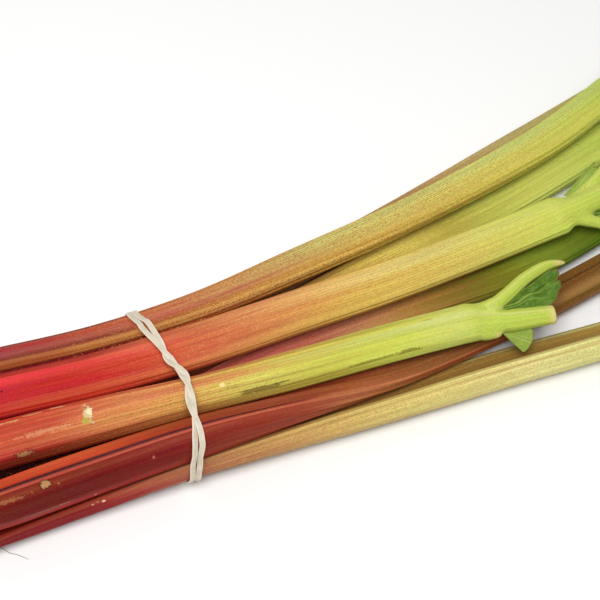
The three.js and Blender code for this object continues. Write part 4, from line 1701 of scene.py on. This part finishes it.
LEAFY_TOP = Stalk(
    "leafy_top", 338.0, 6,
    route=Route(channel=0.12, rows=(
        (-135, 12.6, 26.5, 15, 11.8, 176), (-91, 11.2, 26.8, 14.8, 11.8, 176),
        (-33, 7.8, 27.8, 13.7, 11.6, 176), (26, 3.2, 29.4, 11.6, 10.8, 178),
        (85, -0.4, 30.8, 11.9, 10.4, 180), (146, -2.4, 31.2, 11.9, 9.9, 182),
        (203, -5.4, 31.4, 12.6, 8.6, 182),
    )),
    skin=StalkSkin(
        ground=(
            (0, "#b83a2c"), (71, "#b8482e"), (97, "#c86e44"), (128, "#cc8a4c"), (152, "#d0a050"),
            (167, "#d0b658"), (190, "#ccc85c"), (221, "#c2c24e"), (284, "#bec852"),
            (315, "#c2c966"), (338, "#b4c650"),
        ),
        stripes=(
            Stripe(-135, 6, 0.8, (
                (0, "#cc3a34", 0.9), (45, "#c83c2c", 0.9), (97, "#c24e36", 0.95),
                (128, "#d07450", 0.95), (167, "#c87848", 0.9), (190, "#c48448", 0.85),
                (221, "#c09448", 0.75), (252, "#bca64c", 0.55), (300, "#bcbc58", 0.35),
            )),
            Stripe(-96, 5.5, 1.0, (
                (108, "#d07450", 0), (128, "#d07450", 0.8), (152, "#cc7850", 0.9),
                (180, "#cc804c", 0.85), (200, "#c8904c", 0.75), (221, "#bc9c4c", 0.65),
                (252, "#b8ac50", 0.5), (310, "#bcbc58", 0.3),
            )),
            # painted highlight, pale along the top towards the leaf
            Stripe(-98, 3.5, 0.9, (
                (200, "#dcea9a", 0), (240, "#d6dc84", 0.3), (310, "#dce49c", 0.4),
                (338, "#d4e090", 0.3),
            )),
            # painted shade along the lower edge, darkest near the heel
            Stripe(-4, 7.4, 1.0, (
                (0, "#480e0a", 0.95), (97, "#662a16", 0.85), (152, "#925426", 0.65),
                (200, "#a88638", 0.5), (250, "#a69e42", 0.45), (330, "#a4b048", 0.4),
            )),
        ),
        red_flecks=((60, 0.1), (150, 0.4), (200, 0.3), (240, 0.12)),
        pale_flecks=((50, 0.06), (160, 0.3), (240, 0.15)),
        marks=(
            Mark(96.5, 275, 5.5, 10, "#cfbe88", 0.85, 0.9, "#c0704a"),
            Mark(97.5, 268, 3, 6, "#ebe0b4", 0.8, 1.1),
            Mark(94, 294, 6.5, 3.6, "#a4a840", 0.75, 0.9),
            Mark(56, 334, 11, 3.4, "#b88c5e", 0.8, 0.8, "#4a1810"),
            Mark(69, 293, 36, 2.6, "#d8a078", 0.4, 1),
            Mark(53, 241, 15, 2.0, "#d4a874", 0.7, 1),
            Mark(67, 231, 16, 2.4, "#dcb07c", 0.7, 1),
            Mark(81, 224, 12, 3.0, "#d8b484", 0.75, 1),
            Mark(174, 288, 3.5, 3, "#e8e0a0", 0.7, 0.5),
            Mark(194, 327, 20, 2.6, "#8a7030", 0.8, 0.7, "#4e4814"),
            Mark(208, 323, 12, 1.2, "#5c5c1a", 0.7, 0.6),
            Mark(262, 332, 34, 1.8, "#767c26", 0.7, 0.7),
            Mark(284, 331, 18, 3.6, "#7c7a2c", 0.8, 0.7),
            Mark(301, 250, 8, 0.9, "#8a8438", 0.5, 0.3),
            Mark(223, 234, 8, 1.4, "#e2e0a0", 0.6, 0.5),
            Mark(180, 300, 14, 2, "#8a8a34", 0.4, 0.7),
            Mark(333, 350, 4, 1.6, "#cfc88c", 0.6, 0.8),
        ),
    ),
    leaf_end=LeafEnd(
        ribs=(
            (
                (-18, 0.5, 0, 9.6), (0, -2.6, 0, 8.9), (9, -5, 0, 7.4), (25, -7.2, -0.2, 6.4),
                (39, -8.9, -0.4, 5.8),
            ),
            (
                (-10, 4.6, 0.6, 5.6), (0, 6, 1.2, 5.3), (8, 7, 1.6, 4.9), (18, 11.7, 2.6, 4.4),
                (29.5, 17.7, 3.6, 4.1), (42.5, 21.9, 4.6, 3.5), (50, 22.6, 5.1, 2.5),
                (57, 21, 5.6, 0.9),
            ),
            ((-16, -4.5, -1, 6.6), (-5, -7.8, -1.5, 5.9), (1, -9.2, -2.3, 4.6), (5, -9.8, -3, 3.2)),
        ),
        scraps=(
            Scrap(sag=-2.0, wave=0.9, bulge=0.3, torn=0.55, crumple=1.3, corners=(
                (9, 0, 0.5), (37.5, -2.5, 1), (11, 6, 1), (46.2, 18.8, 4.2),
            )),
            Scrap(sag=1.4, wave=0.2, bulge=0.24, turned_over=True, quilt=0.2, torn=0.15, corners=(
                (5, -9, -3), (23.3, -12, -3.2), (6, -11, -4), (13.5, -25, -6.4),
            )),
        ),
    ),
)

FRONT_TOP = Stalk(
    "front_top", 464.0, 7,
    route=Route(channel=0.18, rows=(
        (-138, -25, 29.2, 17.5, 17.5, -66), (-100, -22.4, 29.6, 17.5, 17.5, -66),
        (-42, -19, 30, 15.6, 17.5, -62), (18, -18.7, 30, 14.6, 15.6, -64),
        (79, -18, 27.4, 13.3, 12.8, -50), (144, -13.5, 19.6, 11.5, 9.8, -20),
        (205, -2, 12.5, 11.5, 9.6, -12), (255, 7.5, 10, 11.5, 9.3, -12),
        (326, 23, 9.5, 11.5, 9, -12),
    )),
    skin=StalkSkin(
        ground=(
            (0, "#66140c"), (76, "#64160e"), (127, "#701812"), (180, "#86321c"), (217, "#90402a"),
            (243, "#aa6440"), (280, "#bc764a"), (320, "#b0643e"), (370, "#844c28"),
            (410, "#7c582c"), (464, "#867034"),
        ),
        stripes=(
            Stripe(90, 15.05, 0.04, (
                (0, "#c23a1a"), (50, "#b0341a"), (76, "#b63c1e"), (102, "#ae3e18"),
                (149, "#8a3214"), (217, "#823620"), (260, "#9c5430"), (303, "#8a5830"),
                (370, "#70481c"), (464, "#6a5020"),
            )),
            Stripe(68, 1.1, 0.8, (
                (330, "#3c2410", 0), (390, "#3c2410", 0.8), (464, "#3c2410", 0.8),
            )),
            Stripe(126, 7.5, 0.8, (
                (330, "#8a5a2c", 0), (390, "#9a7440", 0.85), (464, "#9c7e44", 0.85),
            )),
            # painted sheen just under the ridge
            Stripe(192, 3.0, 1.0, (
                (0, "#8c3816", 0.7), (76, "#86381c", 0.7), (127, "#8c3e28", 0.75),
                (200, "#984430", 0.6), (370, "#8a4a28", 0.4),
            )),
            # painted shade: a thin dark line in the groove between the flat face and the ridge
            Stripe(177.4, 0.26, 0.5, (
                (0, "#340200", 0.95), (140, "#360402", 0.95), (200, "#3a0602", 0.95),
                (240, "#3c2010", 0), (464, "#3a2410", 0),
            )),
            # painted highlight along the ridge
            Stripe(181.4, 0.55, 0.7, (
                (0, "#c0583a", 0.75), (76, "#c0583a", 0.75), (140, "#b85e42", 0.75),
                (200, "#c0684a", 0.8), (240, "#b46c48", 0.6), (290, "#a06a38", 0.2),
                (464, "#9a7a3c", 0.3),
            )),
            Stripe(236, 4.5, 0.9, (
                (0, "#5c1418", 0.3), (76, "#5e181a", 0.3), (150, "#701c1c", 0.3),
                (260, "#80402a", 0),
            )),
            Stripe(262, 5.5, 0.9, (
                (0, "#a0241a", 0.85), (76, "#a4281e", 0.85), (150, "#a42c22", 0.75),
                (260, "#9c4830", 0),
            )),
        ),
        red_flecks=((100, 0.1), (300, 0.25), (420, 0.2)),
        pale_flecks=((150, 0.02), (230, 0.08), (300, 0.25), (420, 0.15)),
        marks=(
            Mark(64, 190.5, 6, 3.0, "#b48656", 0.9, 0.65, "#3c0e0a"),
            Mark(71, 197, 1.4, 1.2, "#b08048", 0.8, 0.3),
            Mark(71, 246, 13, 1.2, "#c8a890", 0.75, 0.6),
            Mark(58, 250, 24, 3, "#84584a", 0.5, 0.9),
            Mark(89, 262, 2.2, 1.8, "#c88a70", 0.8, 0.4),
            Mark(126, 210, 2, 1.6, "#b06c48", 0.7, 0.3),
            # painted sheen under the ridge, near the heel
            Mark(44, 198, 22, 1.4, "#b0744a", 0.5, 0.9),
        ),
    ),
    leaf_end=LeafEnd.forked(half=11.5, lengths=(26, 18, 24), spread=0.55, left=0.6, right=0.8),
)

FRONT_LOW = Stalk(
    "front_low", 431.0, 8,
    route=Route(channel=0.18, rows=(
        (-128, -31.4, 8.6, 11, 8.6, -24), (-60, -28.4, 9.4, 10.8, 8.8, -26),
        (5, -27.3, 12.6, 11.3, 9.3, -30), (76, -27, 12.2, 12.6, 11.2, -36),
        (139, -27.8, 11.4, 13.4, 12.2, -38), (203, -28.2, 11.4, 14, 12.6, -38),
        (303, -31.5, 11.4, 13.8, 12.4, -38),
    )),
    skin=StalkSkin(
        ground=(
            (0, "#780a10"), (64, "#841c18"), (90, "#943026"), (115, "#a0543c"), (138, "#a06848"),
            (160, "#b27e4e"), (191, "#be945a"), (224, "#c8a860"), (287, "#d6c878"),
            (351, "#dcd48a"), (431, "#d8d886"),
        ),
        stripes=(
            Stripe(90, 9.5, 0.5, (
                (0, "#7c1216"), (64, "#84241e"), (115, "#905038"), (160, "#9c6a3c"),
                (230, "#a88444"), (300, "#9c7c3c"), (431, "#a0843c"),
            )),
            Stripe(22, 4.5, 0.5, (
                (200, "#8c7038", 0), (300, "#7c6830", 0.85), (431, "#847038", 0.85),
            )),
            Stripe(166, 2, 0.8, (
                (0, "#903030", 0.4), (200, "#a07834", 0.35), (330, "#a0783a", 0.45),
                (431, "#a07c3c", 0.4),
            )),
            # painted shade along the underside, the lower edge in view
            Stripe(266, 4.4, 0.8, (
                (0, "#560810", 0.9), (115, "#743830", 0.85), (200, "#80643c", 0.75),
                (431, "#8c8c50", 0.7),
            )),
        ),
        red_flecks=((100, 0.2), (180, 0.3), (330, 0.3), (415, 0.2)),
        pale_flecks=((110, 0.03), (160, 0.3), (300, 0.35)),
        marks=(
            Mark(77, 170, 1.8, 1.8, "#c89c7c", 0.8, 0.3),
            Mark(80, 166, 2, 1.8, "#c48a6c", 0.8, 0.3),
            Mark(83.5, 172, 2.8, 2.2, "#e0b89c", 0.9, 0.3),
        ),
    ),
    leaf_end=LeafEnd.forked(half=13.8, lengths=(28, 25, 22), spread=0.6, left=0.75, right=0.85),
)

STALKS = (
    REAR_LOW, REAR_TOP, REAR_INNER, BROAD_RED, MIDDLE_LOW, LEAFY_TOP,
    FRONT_TOP, FRONT_LOW,
)


def main() -> None:
    """Builds the bunch and the studio."""
    logging.basicConfig(level=logging.INFO, format="%(name)s: %(message)s")
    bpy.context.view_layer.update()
    Studio().build()
    upper_face, underside = UPPER_FACE.dress(), UNDERSIDE.dress()
    pieces = [piece for stalk in STALKS for piece in stalk.build(upper_face, underside)]
    pieces.append(SkinThread("stalk_front_low", HEEL_THREAD).build())
    pieces.append(RubberBand(NaturalRubber(), STALKS).build())
    for piece in pieces:
        LOG.info("%s: %d faces", piece.name, len(piece.data.polygons))


if __name__ == "__main__":
    main()
